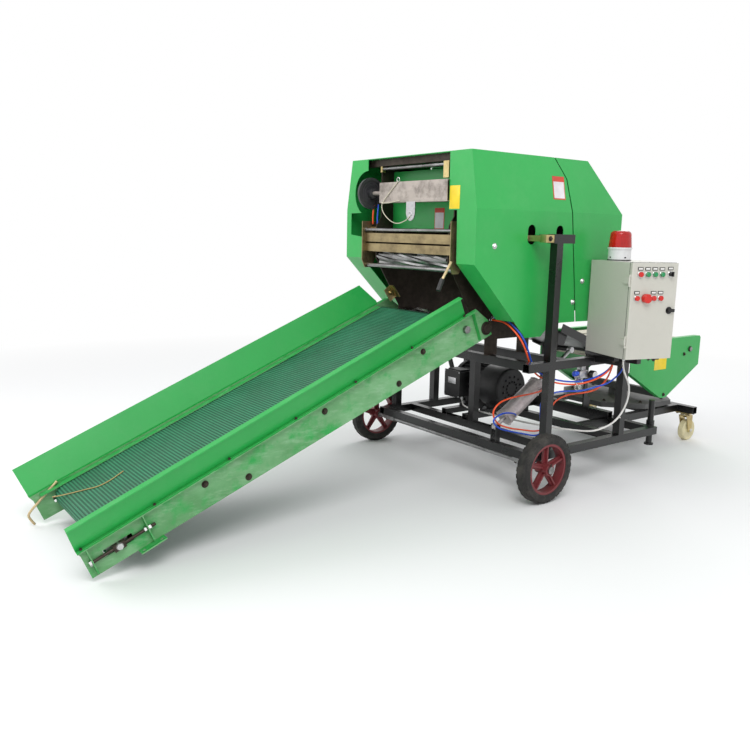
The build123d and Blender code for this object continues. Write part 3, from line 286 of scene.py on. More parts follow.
NODE_LOOKS = {
    green: ("front_cover_near", "front_cover_far", "front_roof", "tailgate_cover", "conveyor_boards",
            "table_side_plates", "mouth_panel"),
    green_worn: ("conveyor_side_plates",),
    black: ("lower_frame", "posts_and_upper_frame", "jack_leg", "bale_ramp", "tailgate_cylinder_barrels",
            "conveyor_bed"),
    motor_black: ("motor", "motor_fan_cover"),
    dark_steel: ("chamber_front_plates", "tailgate_plates", "belt_tensioners"),
    zinc: ("caster_fork_near", "caster_fork_far", "caster_plates", "upper_guide_rod"),
    zinc_shaded_stained: ("mouth_guides",),
    beam_grey: ("twine_beam",),
    bright: ("lower_feed_roll",),
    steel: ("upper_feed_roll", "table_roller_front", "table_roller_rear", "front_axle",
            "drive_pulleys", "conveyor_rollers"),
    aluminium: ("tailgate_cylinder_rods", "ramp_cylinder_rod"),
    grey_deck: ("turntable",),
    rim_red: ("front_rim_near", "front_rim_far"),
    cabinet: ("control_cabinet", "control_door"),
    tyre: ("front_tyre_near", "front_tyre_far"),
    nylon: ("caster_wheel_near", "caster_wheel_far"),
    belt_green: ("conveyor_belt",),
    belt_cream: ("table_belts",),
    drive_rubber: ("drive_belt",),
    red_clear: ("beacon_dome",),
    lamp_white: ("beacon_base",),
    disc_black: ("twine_disc",),
    black_plastic: ("door_handle",),
    red_plastic: ("door_controls",),
}
for look, names in NODE_LOOKS.items():
    for name in names:
        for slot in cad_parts[name].material_slots:
            slot.material = look


# Mesh helpers: each gathers shapes in one bmesh, which then becomes one piece
FLATS_TO_CORNERS = 1.1547
WASHER_T = 0.0018
SMOOTH_ANGLE = math.radians(35.0)


def frame_of(direction):
    # A rotation whose third column is the given direction.
    w = direction.normalized()
    up = Y if abs(w.dot(Z)) > 0.97 else Z
    u = up.cross(w).normalized()
    return Matrix((u, w.cross(u), w)).transposed().to_4x4()


def add_cylinder(bm, base, direction, radius, length, sides, rim=0.0):
    """A round or many-sided bar from base along direction, with an optional chamfer at its far end."""
    turn = Matrix.Translation(base) @ frame_of(direction)
    rings = [(radius, 0.0), (radius, length - rim)]
    if rim:
        rings.append((radius - rim, length))
    made = []
    steps = [2 * math.pi * i / sides for i in range(sides)]
    for r, z in rings:
        made.append([bm.verts.new(turn @ Vector((r * math.cos(a), r * math.sin(a), z))) for a in steps])
    for low, high in zip(made, made[1:]):
        for i in range(sides):
            k = (i + 1) % sides
            bm.faces.new((low[i], low[k], high[k], high[i]))
    bm.faces.new(list(reversed(made[0])))
    bm.faces.new(made[-1])


def add_box(bm, centre, axes, size, rim=0.0):
    """A box along three unit axes, its edges chamfered by rim."""
    u, v, w = axes
    corners = bmesh.ops.create_cube(bm, size=1.0)["verts"]
    for vert in corners:
        p = vert.co.copy()
        vert.co = centre + u * p.x * size[0] + v * p.y * size[1] + w * p.z * size[2]
    if rim:
        edges = list({e for vert in corners for e in vert.link_edges})
        bmesh.ops.bevel(bm, geom=edges, offset=rim, segments=2, affect="EDGES", profile=0.6)


def add_bolt(bm, point, direction, across, height, washer):
    """Washer, six-sided head with a chamfer and the end of the thread."""
    way = direction.normalized()
    add_cylinder(bm, point, way, washer, WASHER_T, 24, rim=0.0004)
    add_cylinder(bm, point + way * WASHER_T, way, across / 2 * FLATS_TO_CORNERS, height, 6, rim=0.0011)
    add_cylinder(bm, point + way * (height + 0.0016), way, across * 0.3, 0.003, 16, rim=0.0006)


def piece(name, bm, material, body="chassis"):
    """One object from the gathered shapes, with its body."""
    mesh = bpy.data.meshes.new(name)
    bmesh.ops.recalc_face_normals(bm, faces=bm.faces)
    bm.to_mesh(mesh)
    bm.free()
    made = bpy.data.objects.new(name, mesh)
    bpy.context.scene.collection.objects.link(made)
    mesh.materials.append(material)
    mesh.shade_smooth()
    mesh.set_sharp_from_angle(angle=SMOOTH_ANGLE)
    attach(made, body)
    return made


def tube(name, points, radius, material, body="chassis", sharp=False):
    """A round bar or cord through points, as a curve with a round section."""
    curve = bpy.data.curves.new(name, "CURVE")
    curve.dimensions = "3D"
    curve.bevel_depth = radius
    curve.bevel_resolution = 4
    curve.resolution_u = 12
    curve.use_fill_caps = True
    spline = curve.splines.new("POLY" if sharp else "NURBS")
    spline.points.add(len(points) - 1)
    for knot, p in zip(spline.points, points):
        knot.co = (*p, 1.0)
    if not sharp:
        spline.order_u = 3
        spline.use_endpoint_u = True
    made = bpy.data.objects.new(name, curve)
    bpy.context.scene.collection.objects.link(made)
    curve.materials.append(material)
    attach(made, body)
    return made


def torus(bm, centre, axis, radius, thick, sides=32, section=8):
    """A ring of round section."""
    turn = Matrix.Translation(centre) @ frame_of(axis)
    rows = []
    for i in range(sides):
        a = 2 * math.pi * i / sides
        rows.append([])
        for k in range(section):
            b = 2 * math.pi * k / section
            reach = radius + thick * math.cos(b)
            place = Vector((reach * math.cos(a), reach * math.sin(a), thick * math.sin(b)))
            rows[-1].append(bm.verts.new(turn @ place))
    for i in range(sides):
        here, after = rows[i], rows[(i + 1) % sides]
        for k in range(section):
            j = (k + 1) % section
            bm.faces.new((here[k], after[k], after[j], here[j]))


def add_nut(bm, point, direction, across, height):
    """A six-sided nut with a chamfer on its outer face."""
    add_cylinder(bm, point, direction.normalized(), across / 2 * FLATS_TO_CORNERS, height, 6, rim=0.0012)


def add_prism(bm, outline, depth):
    """A flat plate: its outline in space, thickened by the depth vector."""
    near = [bm.verts.new(p) for p in outline]
    far = [bm.verts.new(p + depth) for p in outline]
    bm.faces.new(near)
    bm.faces.new(list(reversed(far)))
    for i in range(len(near)):
        k = (i + 1) % len(near)
        bm.faces.new((near[k], near[i], far[i], far[k]))


def row(points):
    return [at(*p) for p in points]


# Places on the CAD that the fittings go by, in millimetres
COVER_Y = 478.0
MOUTH_BRACKET = (-290.0, -342.5, 320.5)
POST_X, POST_Y = 19.0, 559.0
POST_TOP_Z = 1184.0
PLATE_Y = 325.0
FLANGE_Y = 340.5
SHAFT_NUT_Y = 341.0
FLANGE_TOP_N = 115.0
ROLLER_N = 50.0
TAIL_S = -1840.0
HEAD_S = -118.0
END_RIB_S = -1940.0
SCREW_RIB_S = -1730.0
SCREW_Y = 333.3
SCREW_NUTS_S = (SCREW_RIB_S - 14.0, SCREW_RIB_S + 3.0, END_RIB_S - 12.0)
TWINE_DISC = (-318.0, 295.0, 1384.0)
DOOR_T = 18.0
BOX_W, BOX_H = 250.0, 436.0
MOTOR = (420.0, 374.5)
WHEEL_R, TRACK_Y = 160.0, 639.0
KINGPIN = (1570.0, 361.0)
CASTER_TRAIL = 24.0
TABLE_X, TABLE_HALF = 1350.0, 327.0

# Bolts: width across the flats, height of the head and radius of the washer, in metres
BOLT_6 = (0.010, 0.005, 0.0)
BOLT_8 = (0.013, 0.006, 0.011)
BOLT_8_WIDE = (0.013, 0.006, 0.0115)
BOLT_10 = (0.015, 0.007, 0.013)
BOLT_10_TALL = (0.015, 0.008, 0.013)
BOLT_12 = (0.017, 0.008, 0.014)


# Conveyor
FLANGE_BOLTS = (-1953, -1675, -1363, -1055, -751, -436, -117)
PLATE_BOLTS = ((-1480, 75), (-1317, 4), (-921, 72), (-545, -2), (-377, 68))
BELT_RIB_STEP = 13.0
BELT_HALF = 301.0
BELT_OUTER = 48.0
RIB_MIDDLE = 0.5
RIB = (0.0060, 2 * BELT_HALF / 1000, 0.0016)
STRAW_N, STRAW_R = 102.0, 0.0022
STRAW = ((-1902, 227), (-1862, 183), (-1787, 121), (-1753, 88), (-1696, 81), (-1641, 99))
BENT_ROD = ((-1869, 300, 175), (-1940, 300, 104), (-1984, 300, 60), (-1983, 300, 40), (-1962, 300, 10))


def conveyor_bolts():
    """Bolts on the conveyor's flanges and plates."""
    bm = bmesh.new()
    for side in SIDES:
        for s in FLANGE_BOLTS:
            add_bolt(bm, on_conveyor(s, side * FLANGE_Y, FLANGE_TOP_N), NORMAL, *BOLT_6)
        for s, n in PLATE_BOLTS:
            add_bolt(bm, on_conveyor(s, side * PLATE_Y, n), Y * side, *BOLT_12)
    piece("conveyor_bolts", bm, dark_steel, "conveyor")


def belt_ribs():
    """Ribs across the belt: along the top run and round the low end."""
    bm = bmesh.new()
    along = TAIL_S
    while along < HEAD_S:
        add_box(bm, on_conveyor(along, 0, ROLLER_N + BELT_OUTER + RIB_MIDDLE), (SLOPE, Y, NORMAL), RIB)
        along += BELT_RIB_STEP
    tail = on_conveyor(TAIL_S, 0, ROLLER_N)
    for i in range(1, int(math.pi * BELT_OUTER / BELT_RIB_STEP) + 1):
        angle = i * BELT_RIB_STEP / BELT_OUTER
        out = NORMAL * math.cos(angle) - SLOPE * math.sin(angle)
        add_box(bm, tail + out * (BELT_OUTER + RIB_MIDDLE) / 1000, (out.cross(Y), Y, out), RIB)
    piece("belt_ribs", bm, rib_green, "conveyor")


def conveyor_nuts():
    """Nuts on the belt screws and on the ends of the tail roller's shaft."""
    bm = bmesh.new()
    for side in SIDES:
        for s in SCREW_NUTS_S:
            add_nut(bm, on_conveyor(s, side * SCREW_Y, ROLLER_N), SLOPE, 0.019, 0.010)
        add_nut(bm, on_conveyor(TAIL_S, side * SHAFT_NUT_Y, ROLLER_N), Y * side, 0.022, 0.006)
    piece("conveyor_nuts", bm, bright, "conveyor")


def conveyor_scraps():
    """A strand of straw on the belt and a bent rod, both at the low end."""
    strand = [on_conveyor(s, y, STRAW_N) for s, y in STRAW]
    tube("straw_strand", strand, STRAW_R, straw, "conveyor")
    tube("bent_rod", row(BENT_ROD), 0.005, rod_brown, "conveyor")


# Covers and mouth
BRACKET_BOLTS_Z = (1120, 1215)
COVER_BOLTS = ((-221, 1148), (316, 889))
GATE_BOLT = (377, 987)
TWINE = (
    (-349, 44, 1431), (-350, 92, 1392), (-350, 150, 1346), (-350, 166, 1322), (-350, 152, 1288),
    (-350, 100, 1252), (-350, 43, 1236), (-349, -10, 1247), (-348, -44, 1264), (-347, -52, 1276))
TWINE_END = ((-349, 170, 1335), (-350, 120, 1333), (-350, 60, 1340), (-349, 25, 1344))
TWINE_R = 0.0022
LEVER = ((-348, -346, 1076), (-372, -346, 1038), (-397, -346, 999))
GRIP_TOP, GRIP_END = (-395, -346, 1003), (-417, -346, 952)
CHEEK_LOW, CHEEK_HIGH, CHEEK_Y = (-169.5, 822.0), (-243.5, 921.0), 247.0
CORNER = (-222.0, 892.0)
STUB_ORANGE = ((-300, 300, 1236), (-303, 298, 1268), (-301, 297, 1300), (-296, 299, 1332))
STUB_BLUE = ((-300, 262, 1236), (-304, 259, 1262), (-302, 258, 1295), (-296, 262, 1330))
STAY_X = 5.0
STAYS_Y = ((-539, -290), (260, 539))
# Sleeves: start point, radius and length
SLEEVES = (
    (-332, -337.4, 1209, 0.0074, 0.6528), (-318, -337.4, 1036, 0.0094, 0.6528),
    (-290, -224, 1500, 0.0084, 0.453))
BAR_NUTS = ((-332, -331, 1209), (-332, 305, 1209))
COLLAR_Y = 325.6
EYE_X, EYE_HOLE = -346.0, (-52.0, 1282.0)
EYE = ((-20, 1338), (-84, 1338), (-84, 1284), (-76, 1264), (-64, 1254), (-52, 1251), (-40, 1254), (-28, 1264),
       (-20, 1284))


def cover_bolts():
    """Bolts of the mouth's brackets, of the front covers and of the tailgate."""
    x, near, far = MOUTH_BRACKET
    bm = bmesh.new()
    for z in BRACKET_BOLTS_Z:
        add_bolt(bm, at(x, near, z), -Y, *BOLT_12)
        add_bolt(bm, at(x, far, z), Y, *BOLT_12)
    for x, z in COVER_BOLTS:
        for side in SIDES:
            add_bolt(bm, at(x, side * COVER_Y, z), Y * side, *BOLT_10)
    piece("body_bolts", bm, bright)
    bm = bmesh.new()
    for side in SIDES:
        add_bolt(bm, at(GATE_BOLT[0], side * COVER_Y, GATE_BOLT[1]), Y * side, *BOLT_10)
    piece("tailgate_bolts", bm, bright, "tailgate")


def twine():
    """The ring on the beam and the twine that hangs from it to the eye plate, with its loose end."""
    bm = bmesh.new()
    torus(bm, at(EYE_X, 44, 1440), X, 0.010, 0.0020)
    piece("twine_ring", bm, bright)
    tube("twine", row(TWINE), TWINE_R, belt_cream)
    tube("twine_end", row(TWINE_END), TWINE_R, belt_cream)


def mouth_lever():
    """The lever beside the mouth, with its grip."""
    tube("lever_rod", row(LEVER), 0.006, rod_brown, sharp=True)
    bm = bmesh.new()
    add_cylinder(bm, at(*GRIP_TOP), at(*GRIP_END) - at(*GRIP_TOP), 0.0105, 0.056, 24, rim=0.003)
    piece("lever_grip", bm, black_plastic)


def corner_bracket():
    """An angle on the edge of the far cover's cheek, above the belt."""
    (low_x, low_z), (high_x, high_z) = CHEEK_LOW, CHEEK_HIGH
    fall = (at(low_x, CHEEK_Y, low_z) - at(high_x, CHEEK_Y, high_z)).normalized()
    out = fall.cross(Y)
    x, z = CORNER
    bm = bmesh.new()
    add_box(bm, at(x, CHEEK_Y, z), (fall, Y, out), (0.072, 0.005, 0.046), rim=0.001)
    add_box(bm, at(x, CHEEK_Y - 17, z) + out * 0.0205, (fall, Y, out), (0.072, 0.035, 0.005), rim=0.001)
    add_bolt(bm, at(x, CHEEK_Y - 2.5, z + 4), -Y, *BOLT_8)
    piece("corner_bracket", bm, zinc)


def hose_stubs():
    """Two short ends of hose in the mouth."""
    tube("hose_stub_orange", row(STUB_ORANGE), HOSE_R, orange_hose)
    tube("hose_stub_blue", row(STUB_BLUE), HOSE_R, blue_hose)


def post_stays():
    """Zinc lugs on the ends of the T-shaped posts, their bolts and the stays to the chamber."""
    bm = bmesh.new()
    for side in SIDES:
        add_box(bm, at(POST_X, side * POST_Y, POST_TOP_Z), LEVEL, (0.054, 0.038, 0.034), rim=0.002)
    piece("stay_lugs", bm, zinc)
    bm = bmesh.new()
    for side in SIDES:
        add_bolt(bm, at(POST_X, side * (POST_Y + 19), POST_TOP_Z), Y * side, *BOLT_8_WIDE)
    piece("stay_bolts", bm, dark_steel)
    bm = bmesh.new()
    for low, high in STAYS_Y:
        size = (0.022, (high - low) / 1000, 0.026)
        add_box(bm, at(STAY_X, (low + high) / 2, POST_TOP_Z), LEVEL, size, rim=0.002)
    piece("stay_faces", bm, zinc)


def mouth_rods():
    """Sleeves over the two guide bars and the guide rod, with nuts at the upper bar's ends."""
    bm = bmesh.new()
    for x, y, z, radius, length in SLEEVES:
        add_cylinder(bm, at(x, y, z), Y, radius, length, 28)
    for place in BAR_NUTS:
        add_nut(bm, at(*place), Y, 0.019, 0.006)
    piece("mouth_rods", bm, steel)


def eye_plate():
    """The plate under the beam with the eye that the twine runs through."""
    bm = bmesh.new()
    add_prism(bm, [at(EYE_X, y, z) for y, z in EYE], X * 0.004)
    torus(bm, at(EYE_X, *EYE_HOLE), X, 0.009, 0.0024)
    piece("eye_plate", bm, aluminium)


def turning_rings():
    """Rings on the twine disc, then the collars at the lower feed roll's bearings."""
    bm = bmesh.new()
    for radius in (0.036, 0.050):
        torus(bm, at(*TWINE_DISC), Y, radius, 0.0018, 56, 8)
    piece("disc_rings", bm, disc_black, "disc")
    bm = bmesh.new()
    for side in SIDES:
        centre = at(PIVOT[0], WORK_LINE + side * COLLAR_Y, PIVOT[1])
        add_cylinder(bm, centre, Y * side, 0.031, 0.006, 40, rim=0.001)
        add_cylinder(bm, centre, Y * side, 0.022, 0.012, 36, rim=0.002)
        torus(bm, centre + Y * side * 0.006, Y, 0.0265, 0.0022, 40, 8)
    piece("bearing_rings", bm, dark_steel, "lower_roll")


# Blank plates where the photograph shows labels
CREASE_Z, LEAN_IN, LEAN_UP = 1305.0, 44.0, 242.0
LEAN = Vector((0, LEAN_IN, LEAN_UP)).normalized()
LEAN_AXES = (X, LEAN, LEAN.cross(X))


def on_lean(x, z, out):
    # A point on the near cover's leaning panel.
    y = -(COVER_Y - LEAN_IN * (z - CREASE_Z) / LEAN_UP)
    return at(x, y, z) + LEAN.cross(X) * -out / 1000


def blank_plates():
    """Thin plates without a word: each piece with the centre, axes and size of its plates."""
    plates = (
        ("mouth_plate_yellow", yellow_label, "chassis", "belt_cream",
         ((at(-335.6, -339.5, 1352), (Y, Z, X), (0.064, 0.098, 0.0008)),)),
        ("table_plate_yellow", yellow_label, "wrapping_table", "belt_cream",
         ((at(1294.5, -342.5, 489.5), (X, Z, Y), (0.115, 0.075, 0.0008)),)),
        ("red_plates", red_label, "chassis", "lamp_red",
         ((at(-212.5, -103, 1264), (Y, Z, X), (0.068, 0.098, 0.0008)),
          (on_lean(191, 1411.5, 0.5), LEAN_AXES, (0.080, 0.105, 0.0008)))),
        ("white_plates", white_label, "chassis", "lamp_white",
         ((at(-213.2, -103, 1256), (Y, Z, X), (0.060, 0.072, 0.0008)),
          (on_lean(191, 1402, 1.2), LEAN_AXES, (0.070, 0.075, 0.0008)))))
    for name, look, body, slot, boxes in plates:
        bm = bmesh.new()
        for centre, axes, size in boxes:
            add_box(bm, centre, axes, size, rim=0.0003)
        piece(name, bm, look, body)


# Control box
TOP_Z, LOW_Z = 384.0, 278.0
TOP_CAPS = ((42, red_plastic), (81, green_plastic), (120, green_plastic), (159, green_plastic))
LOW_CAPS = ((32, red_plastic), (122, red_plastic), (160, red_plastic))
SWITCH, STOP_X = (205.0, TOP_Z + 2), 77.0
HOLDER_UP = 25.0
HANDLE = (214, 222)
GLANDS = ((432, -655), (445, -652), (478, -618), (522, -652), (388, -735))
MOTOR_GLANDS_X, MOTOR_GLANDS_Y = 287, (225, 290)
LAMP = (84.0, 195.0)
TRAY_X = (13, 235)


def on_door(x, z, out=0.0):
    # A point on the door's face, or out from it.
    return on_box(x, -DOOR_T - out, z)


def door_controls():
    """Rings, coloured caps and blank holders over the controls; the CAD has their plain shapes."""
    caps_at = [(x, TOP_Z, look) for x, look in TOP_CAPS] + [(x, LOW_Z, look) for x, look in LOW_CAPS]
    holders_at = [(x, TOP_Z + HOLDER_UP) for x, look in TOP_CAPS]
    holders_at.append((SWITCH[0], SWITCH[1] + HOLDER_UP))
    holders_at += [(x, LOW_Z + HOLDER_UP) for x, look in LOW_CAPS]
    looks = (red_plastic, green_plastic, black_plastic)
    rings, holders, papers = bmesh.new(), bmesh.new(), bmesh.new()
    caps = {look: bmesh.new() for look in looks}
    for x, z, look in caps_at:
        add_cylinder(rings, on_door(x, z), -BOX_Y, 0.0148, 0.0052, 32, rim=0.0014)
        add_cylinder(caps[look], on_door(x, z, 4), -BOX_Y, 0.0114, 0.0090, 28, rim=0.0016)
    add_cylinder(rings, on_door(*SWITCH), -BOX_Y, 0.0148, 0.0052, 32, rim=0.0014)
    add_cylinder(caps[black_plastic], on_door(*SWITCH, 4), -BOX_Y, 0.0104, 0.0128, 28, rim=0.0016)
    add_box(caps[black_plastic], on_door(*SWITCH, 20), BOX_AXES, (0.006, 0.010, 0.022), rim=0.0015)
    add_cylinder(rings, on_door(STOP_X, LOW_Z), -BOX_Y, 0.0158, 0.0052, 32, rim=0.0014)
    add_cylinder(caps[red_plastic], on_door(STOP_X, LOW_Z, 12), -BOX_Y, 0.0206, 0.0148, 36, rim=0.005)
    for x, z in holders_at:
        add_box(holders, on_door(x, z, 1.0), BOX_AXES, (0.029, 0.002, 0.014), rim=0.0006)
        add_box(papers, on_door(x, z, 2.1), BOX_AXES, (0.022, 0.0006, 0.008))
    piece("control_rings", rings, bright, "door")
    piece("control_holders", holders, black_plastic, "door")
    piece("control_papers", papers, white_plastic, "door")
    for look in looks:
        piece("caps_" + look.name, caps[look], look, "door")


def swing_handle():
    """The door's handle: a base, a neck and a lever turned to the side."""
    x, z = HANDLE
    bm = bmesh.new()
    add_cylinder(bm, on_door(x, z), -BOX_Y, 0.0165, 0.003, 32, rim=0.001)
    add_cylinder(bm, on_door(x, z, 3), -BOX_Y, 0.0105, 0.005, 28, rim=0.001)
    add_box(bm, on_door(x + 6, z, 10.5), BOX_AXES, (0.036, 0.007, 0.015), rim=0.003)
    handle = piece("swing_handle", bm, black_plastic, "door")
    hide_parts("door_handle")


def door_seal():
    """A dark seal between the door and the body of the box."""
    bm = bmesh.new()
    for x in (0.6, BOX_W - 0.6):
        add_box(bm, on_box(x, 0.2, BOX_H / 2), BOX_AXES, (0.0024, 0.0022, BOX_H / 1000))
    for z in (0.6, BOX_H - 0.6):
        add_box(bm, on_box(BOX_W / 2, 0.2, z), BOX_AXES, (BOX_W / 1000, 0.0022, 0.0024))
    piece("door_seal", bm, black_plastic)


def cable_glands():
    """Glands under the control box and under the motor's terminal box."""
    bm = bmesh.new()
    for x, y in GLANDS:
        add_nut(bm, at(x, y, BOX_CORNER[2]), -Z, 0.019, 0.006)
        add_cylinder(bm, at(x, y, BOX_CORNER[2] - 6), -Z, 0.0075, 0.010, 24, rim=0.002)
    for y in MOTOR_GLANDS_Y:
        add_nut(bm, at(MOTOR_GLANDS_X, y, 302.5), -Z, 0.021, 0.007)
        add_cylinder(bm, at(MOTOR_GLANDS_X, y, 295.5), -Z, 0.0085, 0.010, 24, rim=0.002)
    piece("cable_glands", bm, bright)


def box_tray():
    """The two tubes that the control box stands on, and their bolts."""
    bm = bmesh.new()
    for x in TRAY_X:
        for y in (80, 270):
            add_bolt(bm, on_box(x, y, -19.5), -Z, *BOLT_8)
    piece("tray_bolts", bm, dark_steel)
    bm = bmesh.new()
    for x in TRAY_X:
        add_box(bm, on_box(x, 175, -9.7), BOX_AXES, (0.030, 0.230, 0.019), rim=0.002)
    piece("tray_tubes", bm, black)


def lamp_marks():
    """A dark ring at the lamp's foot and the four clips round its base."""
    bm = bmesh.new()
    torus(bm, on_box(*LAMP, BOX_H + 4), Z, 0.0530, 0.0022, 64, 8)
    for angle in (0.4, 1.9, 3.2, 4.6):
        way = BOX_X * math.cos(angle) + BOX_Y * math.sin(angle)
        place = on_box(*LAMP, BOX_H + 16) + way * 0.0522
        add_box(bm, place, (way, way.cross(Z), Z), (0.002, 0.008, 0.006))
    piece("lamp_marks", bm, black_plastic)


# Air hoses and the motor's lead, from the glands along the frame
HOSE_R, LEAD_R = 0.004, 0.0045
GATE_HOSE = (
    (432, -655, 638), (428, -652, 600), (395, -640, 558), (330, -618, 528), (245, -590, 512),
    (160, -545, 520), (95, -505, 545), (45, -500, 580), (14, -500, 625), (-10, -500, 680), (-40, -492, 735),
    (-62, -460, 778), (-55, -410, 800), (-42, -355, 804), (-40, -302, 804))
GATE_PORTS = ((-40, -302, 804), (-27, -302, 815))
RAMP_PORTS = ((258.5, -370, 451.3), (86, -370, 338.6))
BLUE_BESIDE = (13, 3, 11)
RAMP_HOSE_REAR = (
    (258.5, -370, 451), (252, -388, 456), (225, -402, 452), (150, -404, 446), (60, -404, 444),
    (-10, -404, 440), (-72, -404, 426), (-110, -402, 385), (-72, -400, 325), (15, -400, 292),
    (95, -408, 276), (165, -432, 262), (215, -470, 282), (204, -480, 330), (204, -482, 385),
    (232, -490, 425), (300, -510, 448), (372, -545, 452), (430, -575, 470), (462, -600, 520),
    (474, -612, 570), (478, -618, 610), (478, -618, 638))
RAMP_HOSE_FRONT = (
    (86, -370, 339), (70, -390, 350), (20, -406, 368), (-50, -412, 378), (-120, -412, 352),
    (-74, -412, 306), (5, -414, 282), (85, -426, 262), (148, -450, 246), (168, -470, 268), (142, -478, 320),
    (136, -480, 370), (122, -488, 420), (150, -505, 462), (205, -545, 480), (283, -592, 478),
    (366, -600, 490), (440, -625, 505), (500, -645, 552), (522, -652, 600), (522, -652, 638))
MOTOR_LEAD = (
    (388, -735, 638), (400, -728, 606), (462, -700, 556), (530, -676, 508), (560, -662, 448),
    (556, -650, 385), (528, -638, 332), (494, -625, 300), (455, -612, 284), (405, -602, 272),
    (380, -560, 262), (330, -480, 262), (290, -380, 262), (262, -280, 262), (250, -180, 262),
    (240, -80, 262), (238, 20, 262), (240, 120, 262), (252, 170, 264), (276, 208, 270), (287, 225, 292))
# Cable ties: a point on a hose or the lead, and its way there
TIES = (
    (204, -481, 360, (0, 0.05, 1)), (245, -590, 514, (1, -0.3, 0)), (240, -40, 262, (0, 1, 0)),
    (526, -638, 330, (0.6, 0.3, 0.8)))


def hoses():
    """Two hoses to the tailgate's valve, two to the ramp's cylinder, and the motor's lead."""
    beside = [tuple(map(sum, zip(knot, BLUE_BESIDE))) for knot in GATE_HOSE[:-1]] + [GATE_PORTS[1]]
    for name, knots, look in (
            ("gate_orange", GATE_HOSE, orange_hose), ("gate_blue", beside, blue_hose),
            ("ramp_orange", RAMP_HOSE_REAR, orange_hose), ("ramp_blue", RAMP_HOSE_FRONT, blue_hose)):
        tube("hose_" + name, row(knots), HOSE_R, look)
    tube("motor_lead", row(MOTOR_LEAD), LEAD_R, white_plastic)


def hose_fittings():
    """Fittings at the hoses' ends and white ties on hoses and lead."""
    bm = bmesh.new()
    for x, y, z in GATE_PORTS:
        add_nut(bm, at(x, y + 16, z), -Y, 0.014, 0.008)
        add_cylinder(bm, at(x, y + 8, z), -Y, 0.006, 0.012, 20, rim=0.0015)
    for x, y, z in RAMP_PORTS:
        add_nut(bm, at(x, y, z), -Y, 0.016, 0.006)
    piece("hose_fittings", bm, bright)
    bm = bmesh.new()
    for x, y, z, way in TIES:
        torus(bm, at(x, y, z), Vector(way), 0.0062, 0.0013, 20, 6)
        add_box(bm, at(x, y - 7.5, z), LEVEL, (0.004, 0.005, 0.005), rim=0.0008)
    piece("cable_ties", bm, white_plastic)


# Air unit under the near upper rail
AIR_Z = 549.0
BODY_X, BOWL_X, GAUGE_X = 315.0, 300.0, 369.0


def air_unit():
    """Body with its bracket, knob, bowl and gauge."""
    bm = bmesh.new()
    add_box(bm, at(BODY_X, -POST_Y, AIR_Z + 4.5), LEVEL, (0.060, 0.036, 0.037), rim=0.004)
    add_box(bm, at(BODY_X, -POST_Y, AIR_Z + 33), LEVEL, (0.030, 0.028, 0.022), rim=0.002)
    add_cylinder(bm, at(BODY_X + 30, -POST_Y, AIR_Z), X, 0.011, 0.020, 24, rim=0.002)
    add_cylinder(bm, at(BOWL_X, -POST_Y, AIR_Z - 13), -Z, 0.0185, 0.012, 28, rim=0.002)
    piece("air_unit", bm, aluminium)
    bm = bmesh.new()
    add_cylinder(bm, at(BODY_X - 30, -POST_Y, AIR_Z + 9), -X, 0.013, 0.023, 14, rim=0.003)
    piece("air_knob", bm, blue_hose)
    bm = bmesh.new()
    add_cylinder(bm, at(BOWL_X, -POST_Y, AIR_Z - 25), -Z, 0.017, 0.054, 28, rim=0.008)
    piece("air_bowl", bm, bowl_clear)
    bm = bmesh.new()
    add_cylinder(bm, at(GAUGE_X, -POST_Y - 14, AIR_Z), -Y, 0.020, 0.026, 36, rim=0.002)
    piece("gauge_case", bm, black_plastic)
    bm = bmesh.new()
    add_cylinder(bm, at(GAUGE_X, -POST_Y - 39.5, AIR_Z), -Y, 0.0168, 0.0012, 36)
    piece("gauge_dial", bm, white_plastic)


# Motor: the ribbed body with its box at the place that the photograph shows
FIN_COUNT = 24
DRIVE_END = 330.0
FOOT_Y = (85, 250)
TERMINAL = (292.0, 265.0, 374.0)
LID_X, LID_FACE_X = 247.0, 243.5


def on_motor(y, x=0.0, z=0.0):
    # A point measured from the motor's shaft.
    return at(MOTOR[0] + x, y, MOTOR[1] + z)


def motor_body():
    """Ribbed body, drive end with its shaft, feet and terminal box; then a sleeve on the fan cover."""
    x, y, z = TERMINAL
    bm = bmesh.new()
    add_cylinder(bm, on_motor(125), Y, 0.098, 0.180, 48)
    for i in range(FIN_COUNT):
        angle = 2 * math.pi * i / FIN_COUNT
        out = X * math.cos(angle) + Z * math.sin(angle)
        add_box(bm, on_motor(215) + out * 0.102, (out, Y, out.cross(Y)), (0.015, 0.160, 0.004), rim=0.0012)
    add_cylinder(bm, on_motor(DRIVE_END - 26), Y, 0.110, 0.026, 48, rim=0.003)
    add_cylinder(bm, on_motor(DRIVE_END), Y, 0.019, 0.070, 32, rim=0.002)
    for foot_y in FOOT_Y:
        add_box(bm, on_motor(foot_y, z=-125), LEVEL, (0.216, 0.044, 0.014), rim=0.002)
        add_box(bm, on_motor(foot_y, z=-90.5), LEVEL, (0.140, 0.028, 0.058), rim=0.002)
    add_box(bm, at(x, y, z), LEVEL, (0.084, 0.118, 0.143), rim=0.008)
    add_box(bm, at(LID_X, y, z), LEVEL, (0.008, 0.126, 0.151), rim=0.003)
    add_box(bm, at(x, y, z + 75.5), LEVEL, (0.070, 0.100, 0.010), rim=0.003)
    motor = piece("motor_body", bm, motor_black)
    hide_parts("motor")
    bm = bmesh.new()
    add_cylinder(bm, on_motor(50), Y, 0.1135, 0.082, 64, rim=0.002)
    piece("fan_cover_sleeve", bm, motor_black)


